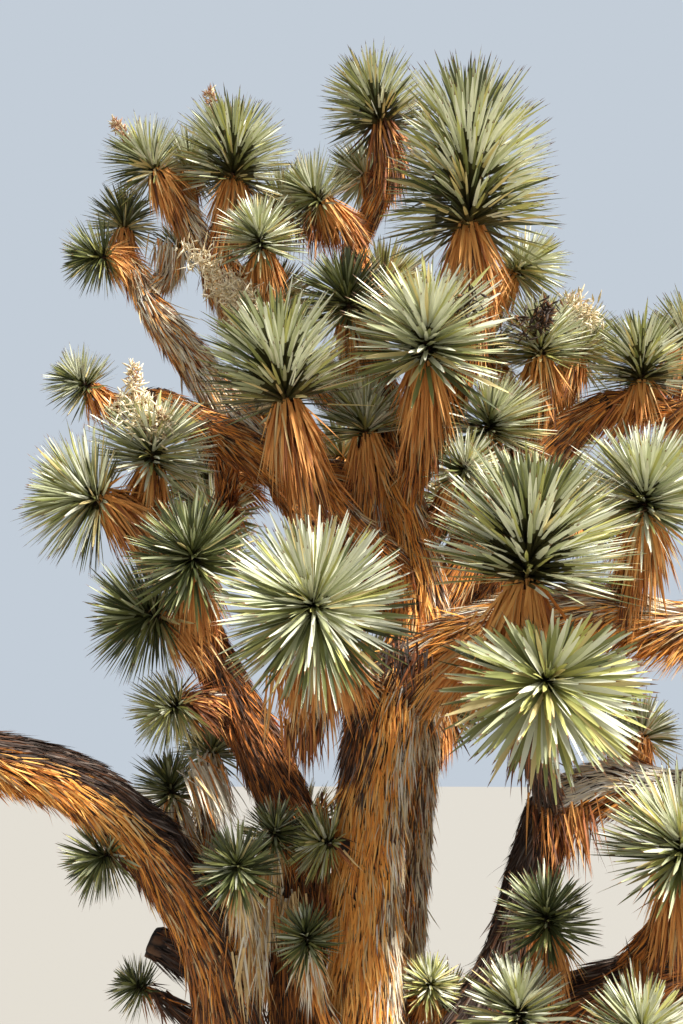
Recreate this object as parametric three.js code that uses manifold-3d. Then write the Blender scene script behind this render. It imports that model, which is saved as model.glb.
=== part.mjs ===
// A Joshua tree: several stems from one root, thatched with their own dead leaves, and a spiky head of
// sword-shaped leaves at the end of every branchlet. Dry flower stalks stand on some of the heads.
//
// Millimetres, +Z up. The origin is the middle of the flat cut at ground level. The usual view looks
// along +Y, so -Y is the front, and +X is to the right.
import * as THREE from "three";
import { ConvexGeometry } from "three/addons/geometries/ConvexGeometry.js";
import { mergeVertices } from "three/addons/utils/BufferGeometryUtils.js";
import Module from "manifold-3d";

const wasm = await Module();
wasm.setup();

// Sizes that drive every limb and head.
const CLEARANCE = 0.3; // left between a piece and what carries it
const LIMB_SIDES = 7;
const RING_SPACING = 210; // along a limb
const BRANCHLET_SIDES = 5;
const BRANCHLET_GIRTH = 46; // radius of a branchlet's old part, thatch included
const COLUMN = 60; // length of stem that bears a head's living leaves
const STEM_START = 0.35; // a branchlet's curve holds to its first and last way this far,
const STEM_END = 0.45; // as shares of its length
const SKIRT_LENGTH = 0.62; // the skirt of dead leaves under a head, as a share of its leaf's length
const SKIRT_SHARE = 0.6; // the most of its branchlet that a skirt covers
const HEM_LENGTH = 1.15; // where the branchlet is thin again below the hem, in lengths of the skirt
const SKIRT_GIRTH = 0.34; // radius of the skirt at its hem and at the neck, as shares of the leaf
const NECK_GIRTH = 0.13;
const CORE_GIRTH = 0.29; // the dense middle of a head, that its leaves stand out of
const CORE_LIFT = 0.7; // how far above the neck the column starts, in radii of the core
const CORNER_SPACING = 15; // millimetres of leaf for each corner of the core
const COLUMN_WEIGHT = 0.6; // how much a millimetre of column counts beside one of leaf
const FEWEST_CORNERS = 12;
const OLDEST_LEAF = THREE.MathUtils.degToRad(128); // how far a leaf leans from the head's axis
const GROWN_LEAF = THREE.MathUtils.degToRad(45); // leaves that lean less are young and shorter
const YOUNG_LENGTH = 0.75;
const UPSWEEP = 0.2; // how much the leaves of a long column are swept up along it
const COLUMN_REACH = 0.4; // how much of its column a head's space adds to its leaf
const GOLDEN_ANGLE = Math.PI * (3 - Math.sqrt(5));
const OFF_AXIS = new THREE.Vector3(0.3, 0.4, 1); // no head points this way, so it gives each a side
const LEAF_MARGIN = 4; // kept between the leaves of two heads
const SHORTEST_LEAF = 0.45; // a leaf with less room than this share of its length isn't grown
const TRIES = [1, 0.85, 0.7]; // shares of its room at which a leaf is tried against what is near

// Every limb runs through a few points from inside the limb that bears it to its own tip. A point is
// [x, y, z, girth], where girth is the radius with the thatch of dead leaves on it. The trunk starts
// below ground level and is cut off flat there.
const LIMBS = {
  trunk: [[-4, 0, -60, 330], [4, 0, 110, 222], [15, -5, 330, 192], [20, -10, 560, 200],
    [22, -10, 640, 130]],
  main_stem: [[30, -50, 500, 125], [55, -65, 950, 106], [80, -70, 1450, 106], [115, -58, 1680, 122],
    [150, -45, 1830, 138]],
  rear_stem: [[90, 90, 500, 105], [155, 180, 1050, 85], [195, 185, 1450, 84], [232, 150, 1850, 92],
    [250, 120, 2050, 84]],
  left_limb: [[-60, -20, 460, 120], [-230, -90, 780, 105], [-345, -150, 1180, 86], [-490, -200, 1405, 88]],
  left_arm: [[-470, -195, 1385, 86], [-675, -250, 1545, 78], [-860, -280, 1605, 70],
    [-1080, -250, 1640, 62], [-1240, -210, 1740, 54]],
  inner_left_limb: [[-20, 60, 500, 92], [-112, 40, 950, 90], [-128, 10, 1380, 84],
    [-217, -30, 1610, 77], [-320, -60, 1800, 72]],
  left_bough: [[-310, -60, 1780, 70], [-385, -65, 1930, 64], [-450, -60, 2080, 58]],
  right_limb: [[100, 40, 460, 110], [330, 100, 850, 90], [463, 120, 1060, 82], [535, 110, 1280, 78],
    [600, 95, 1480, 78]],
  right_arm: [[590, 95, 1470, 74], [762, 60, 1531, 74], [954, 20, 1515, 68], [1170, 0, 1560, 60],
    [1300, 20, 1660, 52]],
  low_right_limb: [[110, -70, 460, 100], [360, -110, 830, 80], [560, -140, 1000, 70],
    [760, -210, 1085, 66], [960, -280, 1125, 58], [1070, -290, 1190, 50]],
  centre_bough: [[150, -40, 1800, 110], [225, -15, 1960, 92], [205, -20, 2200, 84], [145, -45, 2400, 88]],
  crown_bough: [[150, -40, 2380, 84], [130, 60, 2620, 78], [90, 130, 2880, 72], [60, 180, 3120, 64],
    [45, 190, 3280, 56]],
  high_bough: [[150, -30, 2370, 76], [300, -10, 2600, 68], [375, -90, 2830, 58]],
  top_left_bough: [[110, 90, 2680, 72], [-60, 130, 2790, 68], [-230, 150, 2920, 64],
    [-390, 150, 3110, 60], [-430, 130, 3220, 54]],
  left_middle_bough: [[170, -20, 2330, 78], [-30, 30, 2420, 74], [-200, 60, 2480, 70],
    [-370, 60, 2580, 64], [-600, 110, 2715, 52]],
  left_crown_bough: [[-220, 80, 2495, 62], [-330, 110, 2640, 62], [-505, 120, 2885, 60],
    [-640, 110, 3060, 52]],
  right_bough: [[160, -60, 1790, 105], [330, -160, 1910, 86], [470, -260, 1950, 78],
    [700, -210, 1990, 70], [940, -160, 1965, 64], [1120, -150, 2010, 56]],
  upper_right_bough: [[245, 120, 2000, 82], [400, 120, 2230, 76], [560, 100, 2440, 70],
    [740, 90, 2620, 62], [840, 60, 2680, 54]],
  back_left_bough: [[230, 140, 1950, 76], [110, 330, 2140, 70], [-80, 520, 2380, 62], [-230, 620, 2580, 54]],
  back_right_bough: [[240, 160, 1880, 76], [380, 360, 2060, 70], [560, 560, 2270, 62], [670, 660, 2450, 54]],
};

// A head: the limb it grows on and how far along it, or the number of an earlier head in its mass and
// how far along that one's stem. Then the neck where its leaves meet, the way it points, its leaf's
// length, the length of its column of leaves, and the length of its dry flower stalk.
function head(on, along, at, aim, leaf, column = COLUMN, flower = 0) {
  return {
    on, along, leaf, column, flower,
    at: new THREE.Vector3(...at),
    aim: new THREE.Vector3(...aim).normalize(),
  };
}

// Each mass of foliage is one head, or a few heads on branchlets that fork from one stem.
const MASSES = {
  centre_front_head: [head("main_stem", 0.93, [-50, -455, 1920], [-2, -9, 4], 255)],
  right_front_high_head: [head("right_bough", 0.36, [420, -590, 1965], [1, -3, 9], 265, 140)],
  right_front_low_head: [head("right_limb", 1, [440, -610, 1745], [0, -9, 2], 235)],
  crown_front_right_head: [head("centre_bough", 0.8, [230, -330, 2630], [0, -6, 8], 250, 90)],
  crown_front_left_heads: [
    head("centre_bough", 0.5, [-140, -340, 2500], [-2, -2, 9], 245, 150),
    head(0, 0.35, [74, -130, 2488], [-1, -2, 9], 190, 60),
  ],
  crown_inner_head: [head("crown_bough", 0.45, [30, -120, 2880], [-2, -6, 8], 190)],
  inner_right_heads: [
    head("centre_bough", 0.6, [335, -140, 2380], [3, -8, 4], 130, 40),
    head(0, 0.45, [440, -10, 2530], [1, -6, 9], 205),
  ],
  high_right_heads: [
    head("high_bough", 1, [372, -270, 3065], [0, -1, 7], 265, 320),
    head(0, 0.25, [525, 0, 3080], [6, -2, 5], 170),
  ],
  crown_top_heads: [
    head("crown_bough", 1, [145, 60, 3660], [-2, -1, 6], 200, 110),
    head(0, 0.55, [100, 240, 3590], [-3, 4, 6], 150),
    head(0, 0.2, [-50, 60, 3370], [-6, -3, 5], 160),
  ],
  crown_rear_head: [head("crown_bough", 0.86, [140, 430, 3250], [2, 4, 5], 190)],
  top_left_inner_heads: [
    head("top_left_bough", 1, [-360, 60, 3440], [0, -2, 8], 215, 130, 230),
    head(0, 0.4, [-225, 240, 3440], [2, 1, 6], 172),
    head(0, 0.1, [-260, 430, 3200], [0, 5, 4], 185),
  ],
  top_left_outer_heads: [
    head("top_left_bough", 0.97, [-600, 50, 3475], [-4, -2, 5], 170, 60, 150),
    head(0, 0.6, [-530, 170, 3560], [0, 1, 6], 140),
  ],
  upper_left_front_head: [head("top_left_bough", 0.5, [-250, -30, 3145], [-1, -6, 6], 160)],
  left_crown_heads: [
    head("left_crown_bough", 1, [-755, 90, 3205], [-6, -2, -1], 140, 50),
    head(0, 0.4, [-745, 180, 3340], [0, 0, 6], 140),
    head(0, 0.1, [-565, 215, 3280], [2, 1, 6], 115, 50),
  ],
  left_far_head: [head("left_middle_bough", 1, [-815, 180, 2770], [-6, -4, 4], 130, 50)],
  left_rear_heads: [
    head("left_middle_bough", 0.62, [-410, 260, 2620], [-1, 4, 6], 125, 50),
    head(0, 0.4, [-430, 450, 2420], [-3, 7, 1], 180),
  ],
  left_high_heads: [
    head("left_bough", 1, [-550, -120, 2400], [1, -3, 7], 205, 70, 210),
    head(0, 0.45, [-650, -160, 2300], [-9, -2, 2], 215),
  ],
  left_middle_heads: [
    head("left_bough", 0.45, [-380, -320, 2060], [0, -7, 6], 190),
    head(0, 0.45, [-455, -230, 1975], [-8, -3, -1], 190),
  ],
  inner_left_head: [head("inner_left_limb", 0.98, [-415, -150, 1752], [-6, -3, -3], 132, 50)],
  grey_limb_heads: [
    head("inner_left_limb", 0.55, [-480, 80, 1478], [-1, -1, 6], 134, 50),
    head(0, 0.6, [-410, 320, 1600], [0, 4, 5], 130),
  ],
  left_arm_end_heads: [
    head("left_arm", 1, [-1330, -190, 2010], [-1, 0, 7], 200, 70),
    head(0, 0.35, [-1450, -260, 1800], [-7, -3, 2], 185),
    head(0, 0.35, [-1290, -10, 1850], [0, 7, 4], 175),
  ],
  left_under_head: [head("left_limb", 0.95, [-568, -215, 1380], [-6, -3, -3], 120, 40)],
  low_left_heads: [
    head("left_limb", 0.5, [-252, -270, 1315], [0, -6, 5], 118, 50),
    head(0, 0.55, [-180, -160, 1385], [2, -4, 7], 105, 40),
  ],
  stem_side_head: [head("main_stem", 0.56, [-10, -150, 1390], [-8, -3, 1], 122, 40)],
  stem_front_head: [head("main_stem", 0.22, [-80, -255, 1150], [-1, -4, 7], 96, 40)],
  stump_head: [head("left_limb", 0.22, [-500, -60, 1020], [-6, -2, 3], 85, 35)],
  low_rear_heads: [
    head("rear_stem", 0.2, [300, 400, 850], [3, 5, 5], 130, 45),
    head("rear_stem", 0.3, [232, 55, 985], [1, -3, 5], 95, 35),
  ],
  low_centre_head: [head("low_right_limb", 0.32, [408, -340, 990], [0, -2, 8], 150, 50)],
  right_shaded_head: [head("low_right_limb", 0.5, [504, -260, 1180], [-1, -3, 7], 135)],
  low_right_heads: [
    head("low_right_limb", 0.68, [790, -410, 1350], [-1, -5, 7], 210),
    head(0, 0.2, [640, -500, 985], [0, -3, 7], 145, 50),
  ],
  low_right_end_heads: [
    head("low_right_limb", 1, [1190, -310, 1440], [3, -1, 7], 200),
    head(0, 0.4, [1290, -190, 1270], [6, 2, 2], 170),
  ],
  right_arm_heads: [
    head("right_arm", 0.42, [930, 300, 1650], [3, 4, 6], 130, 50),
    head(0, 0.55, [830, 240, 1640], [-3, 1, 6], 115, 45),
  ],
  right_arm_end_heads: [
    head("right_arm", 1, [1400, 60, 1910], [1, 0, 7], 205, 80),
    head(0, 0.3, [1500, -90, 1700], [7, -3, 2], 190),
    head(0, 0.3, [1330, 230, 1750], [1, 7, 3], 180),
  ],
  right_middle_head: [head("right_bough", 0.63, [790, -330, 2200], [0, -4, 7], 235, 70)],
  right_bough_end_heads: [
    head("right_bough", 1, [1220, -130, 2230], [1, -1, 7], 205, 80),
    head(0, 0.3, [1330, -260, 2060], [7, -4, 1], 190),
  ],
  upper_right_heads: [
    head("upper_right_bough", 1, [925, 0, 2700], [0, -1, 7], 185, 110),
    head(0, 0.4, [1120, -60, 2640], [6, -3, 3], 180),
    head(0, 0.5, [1140, 170, 2900], [3, 2, 6], 190),
  ],
  right_crown_heads: [
    head("upper_right_bough", 0.52, [620, 10, 2790], [0, -2, 7], 180, 80),
    head(0, 0.4, [480, 110, 2830], [-3, 1, 7], 160),
    head(0, 0.5, [770, 190, 2880], [3, 1, 7], 165, 60, 150),
    head(0, 0.3, [700, 430, 2720], [1, 7, 3], 185),
  ],
  back_left_heads: [
    head("back_left_bough", 1, [-320, 700, 2840], [-2, 2, 7], 200, 80),
    head(0, 0.3, [-460, 680, 2600], [-8, 2, 1], 190),
    head(0, 0.15, [-10, 690, 2670], [3, 3, 6], 190),
  ],
  back_right_heads: [
    head("back_right_bough", 1, [760, 730, 2740], [2, 2, 7], 205, 80),
    head(0, 0.3, [880, 770, 2500], [7, 4, 1], 190),
    head(0, 0.2, [470, 750, 2520], [-3, 6, 4], 185),
  ],
  back_low_heads: [
    head("rear_stem", 0.6, [330, 500, 1760], [2, 6, 5], 185),
    head(0, 0.4, [110, 520, 1850], [-3, 6, 4], 180),
    head(0, 0.25, [-75, 330, 1400], [-5, 3, 4], 125),
  ],
};

const BARK_COLOUR = 0x8a5a2c;
const LEAF_COLOUR = 0x9aa876;

// A closed three.js geometry as a solid: its vertices are shared once only their places are left.
function solidOf(geometry) {
  geometry.deleteAttribute("normal");
  geometry.deleteAttribute("uv");
  const merged = mergeVertices(geometry, 1e-3);
  return new wasm.Manifold(new wasm.Mesh({
    numProp: 3,
    vertProperties: merged.attributes.position.array,
    triVerts: new Uint32Array(merged.index.array),
  }));
}

// A solid as a named mesh with the sub-part's colour.
function meshOf(name, solid, colour) {
  const made = solid.getMesh();
  const geometry = new THREE.BufferGeometry()
    .setAttribute("position", new THREE.BufferAttribute(made.vertProperties, 3))
    .setIndex(new THREE.BufferAttribute(made.triVerts, 1));
  geometry.computeVertexNormals();
  const material = new THREE.MeshStandardMaterial({ color: colour, roughness: 0.85, metalness: 0 });
  const mesh = new THREE.Mesh(geometry, material);
  mesh.name = name;
  return mesh;
}

// The largest of a solid's separate bodies. Cuts can leave loose scraps, which are dropped.
function largestBody(solid) {
  const bodies = solid.decompose();
  return bodies.reduce((best, body) => (body.volume() > best.volume() ? body : best));
}

// A cylinder bent so that its rings lie on the stations, each { at, girth }, square to the way from
// one to the next. The rings turn as little as they can from one station to the next. The extra is
// added all round and at both ends.
function sweep(stations, sides, extra = 0) {
  const spans = stations.length - 1;
  const geometry = new THREE.CylinderGeometry(1, 1, spans, sides, spans);
  const frames = [];
  let across = new THREE.Vector3(1, 0, 0);
  stations.forEach((station, i) => {
    const before = stations[Math.max(i - 1, 0)].at;
    const after = stations[Math.min(i + 1, spans)].at;
    const along = after.clone().sub(before).normalize();
    if (i === 0 && Math.abs(along.x) > 0.9) across.set(0, 1, 0);
    across = across.clone().addScaledVector(along, -across.dot(along)).normalize();
    const outward = i === 0 ? -extra : i === spans ? extra : 0;
    const at = station.at.clone().addScaledVector(along, outward);
    frames.push({ at, across, side: across.clone().cross(along), girth: station.girth + extra });
  });
  const position = geometry.attributes.position;
  const point = new THREE.Vector3();
  for (let i = 0; i < position.count; i++) {
    point.fromBufferAttribute(position, i);
    const frame = frames[Math.round(point.y + spans / 2)];
    const moved = frame.at.clone()
      .addScaledVector(frame.across, point.x * frame.girth)
      .addScaledVector(frame.side, point.z * frame.girth);
    position.setXYZ(i, moved.x, moved.y, moved.z);
  }
  return solidOf(geometry);
}

// The stations of a limb: its route as a smooth curve, with the girth going evenly between points.
function limbStations(route) {
  const curve = new THREE.CatmullRomCurve3(route.map(([x, y, z]) => new THREE.Vector3(x, y, z)));
  const spans = Math.max(route.length - 1, Math.round(curve.getLength() / RING_SPACING));
  return Array.from({ length: spans + 1 }, (_, i) => {
    const place = (i / spans) * (route.length - 1);
    const k = Math.min(Math.floor(place), route.length - 2);
    const girth = THREE.MathUtils.lerp(route[k][3], route[k + 1][3], place - k);
    return { at: curve.getPoint(i / spans), girth };
  });
}

// The point a share of the way along a list of stations.
function pointAlong(stations, share) {
  const place = share * (stations.length - 1);
  const k = Math.min(Math.floor(place), stations.length - 2);
  return stations[k].at.clone().lerp(stations[k + 1].at, place - k);
}

// The stations of a head's stem: a bent branchlet, the skirt of dead leaves hanging round its top, and
// the neck, which ends inside the head's core.
function headStations(h, start) {
  const span = h.at.distanceTo(start);
  const skirt = Math.min(h.leaf * SKIRT_LENGTH, span * SKIRT_SHARE);
  const stem = new THREE.CubicBezierCurve3(
    start,
    start.clone().lerp(h.at, STEM_START),
    h.at.clone().addScaledVector(h.aim, -STEM_END * span),
    h.at,
  );
  const fromTop = (length) => stem.getPointAt(Math.max(0, 1 - length / stem.getLength()));
  return [
    { at: start, girth: BRANCHLET_GIRTH },
    { at: fromTop(skirt * HEM_LENGTH), girth: BRANCHLET_GIRTH },
    { at: fromTop(skirt), girth: h.leaf * SKIRT_GIRTH },
    { at: h.at, girth: h.leaf * NECK_GIRTH },
    { at: columnPoint(h, 0), girth: h.leaf * NECK_GIRTH },
  ];
}

// A point on the line that a head's leaves stand round, a share of the way up the column.
function columnPoint(h, share) {
  return h.at.clone().addScaledVector(h.aim, CORE_LIFT * CORE_GIRTH * h.leaf + share * h.column);
}

// The middle of a head and how far its leaves reach from there.
function spaceOf(h) {
  return { centre: columnPoint(h, 0.5), reach: h.leaf + h.column * COLUMN_REACH };
}

// How far a leaf can go from root along its way before it would enter another head's space. Two
// spaces meet at the plane where the powers of their spheres are equal.
function roomFor(root, way, own, others) {
  let room = Infinity;
  for (const other of others) {
    const apart = other.centre.clone().sub(own.centre);
    const distance = apart.length();
    const plane = (distance ** 2 + own.reach ** 2 - other.reach ** 2) / (2 * distance);
    const normal = apart.divideScalar(distance);
    const speed = way.dot(normal);
    if (speed <= 0) continue;
    const gone = root.clone().sub(own.centre).dot(normal);
    room = Math.min(room, (plane - LEAF_MARGIN - gone) / speed);
  }
  return room;
}

// The corners of a head's core follow one another by the golden angle, from its back to its tip.
function coreCorners(h) {
  const count = Math.max(FEWEST_CORNERS, Math.round((h.leaf + h.column * COLUMN_WEIGHT) / CORNER_SPACING));
  const side = OFF_AXIS.clone().cross(h.aim).normalize();
  return Array.from({ length: count }, (_, i) => {
    const share = (i + 0.5) / count;
    const forward = 2 * share - 1;
    const outward = side.clone().applyAxisAngle(h.aim, i * GOLDEN_ANGLE);
    const way = h.aim.clone().multiplyScalar(forward)
      .addScaledVector(outward, Math.sqrt(1 - forward ** 2));
    return columnPoint(h, share).addScaledVector(way, h.leaf * CORE_GIRTH);
  });
}

// The leaf that stands on one facet of the core: where it starts on the column, which way it points
// and how long it is. Leaves on a long column are swept up, and those at the tip are young.
function leafOn(facet, h) {
  const middle = facet.getMidpoint(new THREE.Vector3());
  const foot = columnPoint(h, 0);
  const up = THREE.MathUtils.clamp(middle.clone().sub(foot).dot(h.aim), 0, h.column);
  const root = foot.addScaledVector(h.aim, up * (1 - UPSWEEP));
  const way = middle.sub(root).normalize();
  const lean = way.angleTo(h.aim);
  const grown = THREE.MathUtils.smoothstep(lean, 0, GROWN_LEAF);
  return { root, way, lean, length: h.leaf * THREE.MathUtils.lerp(YOUNG_LENGTH, 1, grown) };
}

// The leaves of a head with the core that they stand out of, as one solid. A leaf is a blade of three
// faces whose root is a whole facet, so the roots are as wide as the dense middle of the head. It
// keeps to the head's own space, and is left out where it would touch what is blocked.
function headSolid(h, others, blocked) {
  const core = new ConvexGeometry(coreCorners(h)).attributes.position;
  const space = spaceOf(h);
  const faces = [];
  for (let i = 0; i < core.count; i += 3) {
    const corners = [0, 1, 2].map((k) => new THREE.Vector3().fromBufferAttribute(core, i + k));
    const leaf = leafOn(new THREE.Triangle(...corners), h);
    const room = Math.min(leaf.length, roomFor(leaf.root, leaf.way, space, others));
    const tips = leaf.lean > OLDEST_LEAF || room < h.leaf * SHORTEST_LEAF ? []
      : TRIES.map((share) => leaf.root.clone().addScaledVector(leaf.way, room * share));
    const tip = tips.find((t) => solidOf(new ConvexGeometry([...corners, t])).intersect(blocked).isEmpty());
    const [a, b, c] = corners;
    faces.push(...(tip ? [a, b, tip, b, c, tip, c, a, tip] : corners));
  }
  return solidOf(new THREE.BufferGeometry().setFromPoints(faces));
}

// A dry flower stalk beside the youngest leaves: a lean spindle, widest above its middle. Its profile
// is [share of the height, radius as a share of the flower's length].
const FLOWER_PROFILE = [[0, 0.06], [0.45, 0.07], [0.62, 0.2], [0.8, 0.14], [1, 0.025]];
const FLOWER_SIDES = 5;
const FLOWER_FOOT = 0.4; // how much of its foot stands among the leaves, as a share of their length
const FLOWER_TILT = new THREE.Vector3(-0.35, -0.1, 0.3); // away from the head's own way

function flowerSolid(h) {
  const foot = columnPoint(h, 0);
  const way = h.aim.clone().add(FLOWER_TILT).normalize();
  const tall = h.leaf * FLOWER_FOOT + h.flower;
  return sweep(FLOWER_PROFILE.map(([up, girth]) => ({
    at: foot.clone().addScaledVector(way, up * tall),
    girth: girth * h.flower,
  })), FLOWER_SIDES);
}

// The limbs: each is cut clear of those before it, which bear it.
const stationsOf = {};
const limbs = {};
let limbsWithClearance = null;
for (const [name, route] of Object.entries(LIMBS)) {
  const stations = limbStations(route);
  let limb = sweep(stations, LIMB_SIDES).trimByPlane([0, 0, 1], 0);
  if (limbsWithClearance) limb = largestBody(limb.subtract(limbsWithClearance));
  const grown = sweep(stations, LIMB_SIDES, CLEARANCE);
  limbsWithClearance = limbsWithClearance ? limbsWithClearance.add(grown) : grown;
  stationsOf[name] = stations;
  limbs[name] = limb;
}

// The woody part of each mass, and that part with clearance, which the other masses keep out of.
const stems = {};
const stemsWithClearance = {};
let taken = limbsWithClearance;
for (const [name, heads] of Object.entries(MASSES)) {
  const parts = [];
  const grown = [];
  heads.forEach((h, i) => {
    const bearer = stationsOf[typeof h.on === "number" ? `${name} ${h.on}` : h.on];
    const stations = headStations(h, pointAlong(bearer, h.along));
    stationsOf[`${name} ${i}`] = stations.slice(0, 4);
    parts.push(sweep(stations, BRANCHLET_SIDES));
    grown.push(sweep(stations, BRANCHLET_SIDES, CLEARANCE));
    if (h.flower) parts.push(flowerSolid(h));
  });
  stems[name] = largestBody(wasm.Manifold.union(parts).subtract(taken));
  stemsWithClearance[name] = wasm.Manifold.union(grown);
  taken = taken.add(stemsWithClearance[name]);
}

// The heads are grown one after another, each clear of the limbs, of the other masses' stems and of
// the heads grown before it.
const spaces = Object.values(MASSES).flat().map((h) => ({ h, ...spaceOf(h) }));
const masses = {};
let grownHeads = limbsWithClearance;
for (const [name, heads] of Object.entries(MASSES)) {
  const elsewhere = Object.keys(MASSES).filter((other) => other !== name);
  const blocked = wasm.Manifold.union([grownHeads, ...elsewhere.map((other) => stemsWithClearance[other])]);
  const grown = heads.map((h) => headSolid(h, spaces.filter((other) => other.h !== h), blocked));
  const mass = wasm.Manifold.union([stems[name], ...grown]);
  masses[name] = largestBody(mass.subtract(blocked));
  grownHeads = wasm.Manifold.union([grownHeads, ...grown]);
}

const tree = new THREE.Group();
for (const [name, solid] of Object.entries(limbs)) tree.add(meshOf(name, solid, BARK_COLOUR));
for (const [name, solid] of Object.entries(masses)) tree.add(meshOf(name, solid, LEAF_COLOUR));

export default tree;
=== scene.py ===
# %% [markdown]
# # A Joshua tree
#
# A Joshua tree never sheds its leaves. Each branch ends in a ball of stiff, sword-shaped leaves, and the
# leaves that have died below it fold back and stay, first as an orange skirt and then as a thatch that
# covers every limb down to the trunk. So almost all of this tree is one shape, a narrow blade, used tens
# of thousands of times at different ages. The lesson is how to lay out that many blades with numpy,
# with one rule for the living heads and one for the dead thatch.

# %% Load the frame that the tree has to fit
import math

import bpy
import numpy as np
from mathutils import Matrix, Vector


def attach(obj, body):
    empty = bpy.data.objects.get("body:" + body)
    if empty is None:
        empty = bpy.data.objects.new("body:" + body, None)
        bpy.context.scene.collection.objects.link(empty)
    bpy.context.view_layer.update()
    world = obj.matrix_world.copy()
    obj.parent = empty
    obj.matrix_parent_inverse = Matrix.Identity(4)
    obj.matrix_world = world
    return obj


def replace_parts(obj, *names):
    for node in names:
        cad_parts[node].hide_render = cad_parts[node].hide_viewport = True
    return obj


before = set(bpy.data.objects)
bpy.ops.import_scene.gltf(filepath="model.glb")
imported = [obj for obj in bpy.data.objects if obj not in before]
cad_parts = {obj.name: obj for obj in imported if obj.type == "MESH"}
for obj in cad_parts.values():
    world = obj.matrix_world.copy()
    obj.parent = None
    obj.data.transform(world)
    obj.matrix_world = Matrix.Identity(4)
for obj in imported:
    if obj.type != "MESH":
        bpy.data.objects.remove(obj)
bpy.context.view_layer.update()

MM = 0.001
UP = np.array([0.0, 0.0, 1.0])
GOLDEN_ANGLE = math.pi * (3 - math.sqrt(5))
rng = np.random.default_rng(7)

# %% [markdown]
# ## The camera
#
# The picture was taken from eye height, close to the tree, looking up. The row of the horizon gives the
# tilt, and the focal length in pixels gives the lens.

# %% Camera
PHOTO_SIZE = (683, 1024)
HORIZON_ROW = 760
FOCAL_LENGTH_PIXELS = 970
EYE = (0.0, -2.8, 1.6)


def placed(name, data):
    """A new object of the scene."""
    thing = bpy.data.objects.new(name, data)
    bpy.context.scene.collection.objects.link(thing)
    return thing


lens = bpy.data.cameras.new("camera")
lens.lens = lens.sensor_width * FOCAL_LENGTH_PIXELS / max(PHOTO_SIZE)
camera = placed("camera", lens)
camera.location = EYE
tilt = math.atan((HORIZON_ROW - PHOTO_SIZE[1] / 2) / FOCAL_LENGTH_PIXELS)
camera.rotation_euler = (math.pi / 2 + tilt, 0, 0)
bpy.context.scene.camera = camera
print("lens", round(lens.lens, 1), "mm, tilted up", round(math.degrees(tilt), 1), "degrees")

# %% [markdown]
# ## Floor and light
#
# The floor is a plain pale disc, large enough that its edge is never seen. One soft sun from the upper
# right, a little in front, draws every leaf, and a faint sky fills the shade. The camera sees a brighter
# sky than the leaves do, so the shade can be deep. The plain view transform keeps the contrast.


# %% Shader nodes, and materials that are only a colour and a roughness
def linear(colour):
    """A colour like "#A0B080" in Blender's linear numbers: each channel c is ((c + .055) / 1.055)^2.4."""
    channels = np.array([int(colour[i : i + 2], 16) for i in (1, 3, 5)]) / 255
    return (*(((channels + 0.055) / 1.055) ** 2.4), 1.0)


def feed(tree, node, inputs):
    """Give each named input of a node a value, or link it to the socket that is given for it."""
    for name, value in inputs.items():
        if isinstance(value, bpy.types.NodeSocket):
            tree.links.new(value, node.inputs[name])
        else:
            node.inputs[name].default_value = value


def result_of(tree, kind, output, inputs, **settings):
    """One output of a new shader node with the given settings and inputs."""
    node = tree.nodes.new("ShaderNode" + kind)
    for name, value in settings.items():
        setattr(node, name, value)
    feed(tree, node, inputs)
    return node.outputs[output]


def new_material(name, colour, roughness):
    """A Principled material with its constant values on the shader's own sockets, and its node tree."""
    material = bpy.data.materials.new(name)
    material.use_nodes = True
    tree = material.node_tree
    feed(tree, tree.nodes["Principled BSDF"], {"Base Color": linear(colour), "Roughness": roughness})
    return material, tree


# %% Floor, sun and sky
FLOOR_RADIUS = 60.0
FLOOR_SIDES = 96
FLOOR_COLOUR = "#98958F"
FLOOR_ROUGHNESS = 0.9
SUN_COMES_FROM = (0.6, -0.48, 0.88)
SUN_STRENGTH = 8.4
SUN_COLOUR = (1.0, 0.97, 0.91)
SUN_WIDTH = math.radians(6)
SKY_STRENGTH = 0.46
SKY_COLOUR = (0.86, 0.91, 1.0, 1.0)
BACKDROP_COLOUR = "#C3CDD8"

turn = np.linspace(0, 2 * np.pi, FLOOR_SIDES, endpoint=False)
rim = np.stack([np.cos(turn), np.sin(turn), np.zeros(FLOOR_SIDES)], axis=1) * FLOOR_RADIUS
floor_mesh = bpy.data.meshes.new("floor")
floor_mesh.from_pydata(rim.tolist(), [], [list(range(FLOOR_SIDES))])
floor_mesh.materials.append(new_material("pale floor", FLOOR_COLOUR, FLOOR_ROUGHNESS)[0])
floor = placed("floor", floor_mesh)

sun_light = bpy.data.lights.new("sun", "SUN")
sun_light.energy = SUN_STRENGTH
sun_light.angle = SUN_WIDTH
sun_light.color = SUN_COLOUR
sun = placed("sun", sun_light)
sun.rotation_euler = Vector(SUN_COMES_FROM).to_track_quat("Z", "Y").to_euler()

world = bpy.data.worlds.new("sky")
world.use_nodes = True
sky = world.node_tree
lighting = sky.nodes["Background"]
feed(sky, lighting, {"Color": SKY_COLOUR, "Strength": SKY_STRENGTH})
to_camera = result_of(sky, "LightPath", "Is Camera Ray", {})
backdrop = result_of(sky, "Background", "Background", {"Color": linear(BACKDROP_COLOUR)})
both = {"Fac": to_camera, 1: lighting.outputs["Background"], 2: backdrop}
feed(sky, sky.nodes["World Output"], {"Surface": result_of(sky, "MixShader", "Shader", both)})
bpy.context.scene.world = world
bpy.context.scene.view_settings.view_transform = "Standard"
print("a sun of", SUN_STRENGTH, "and a sky of", SKY_STRENGTH)

# %% [markdown]
# ## The skeleton
#
# The limbs are routes through a few points, and each head of leaves has a neck, a way that it points and
# a leaf's length. These are the solids' own values, in millimetres, so everything grown here lands on them.

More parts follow.
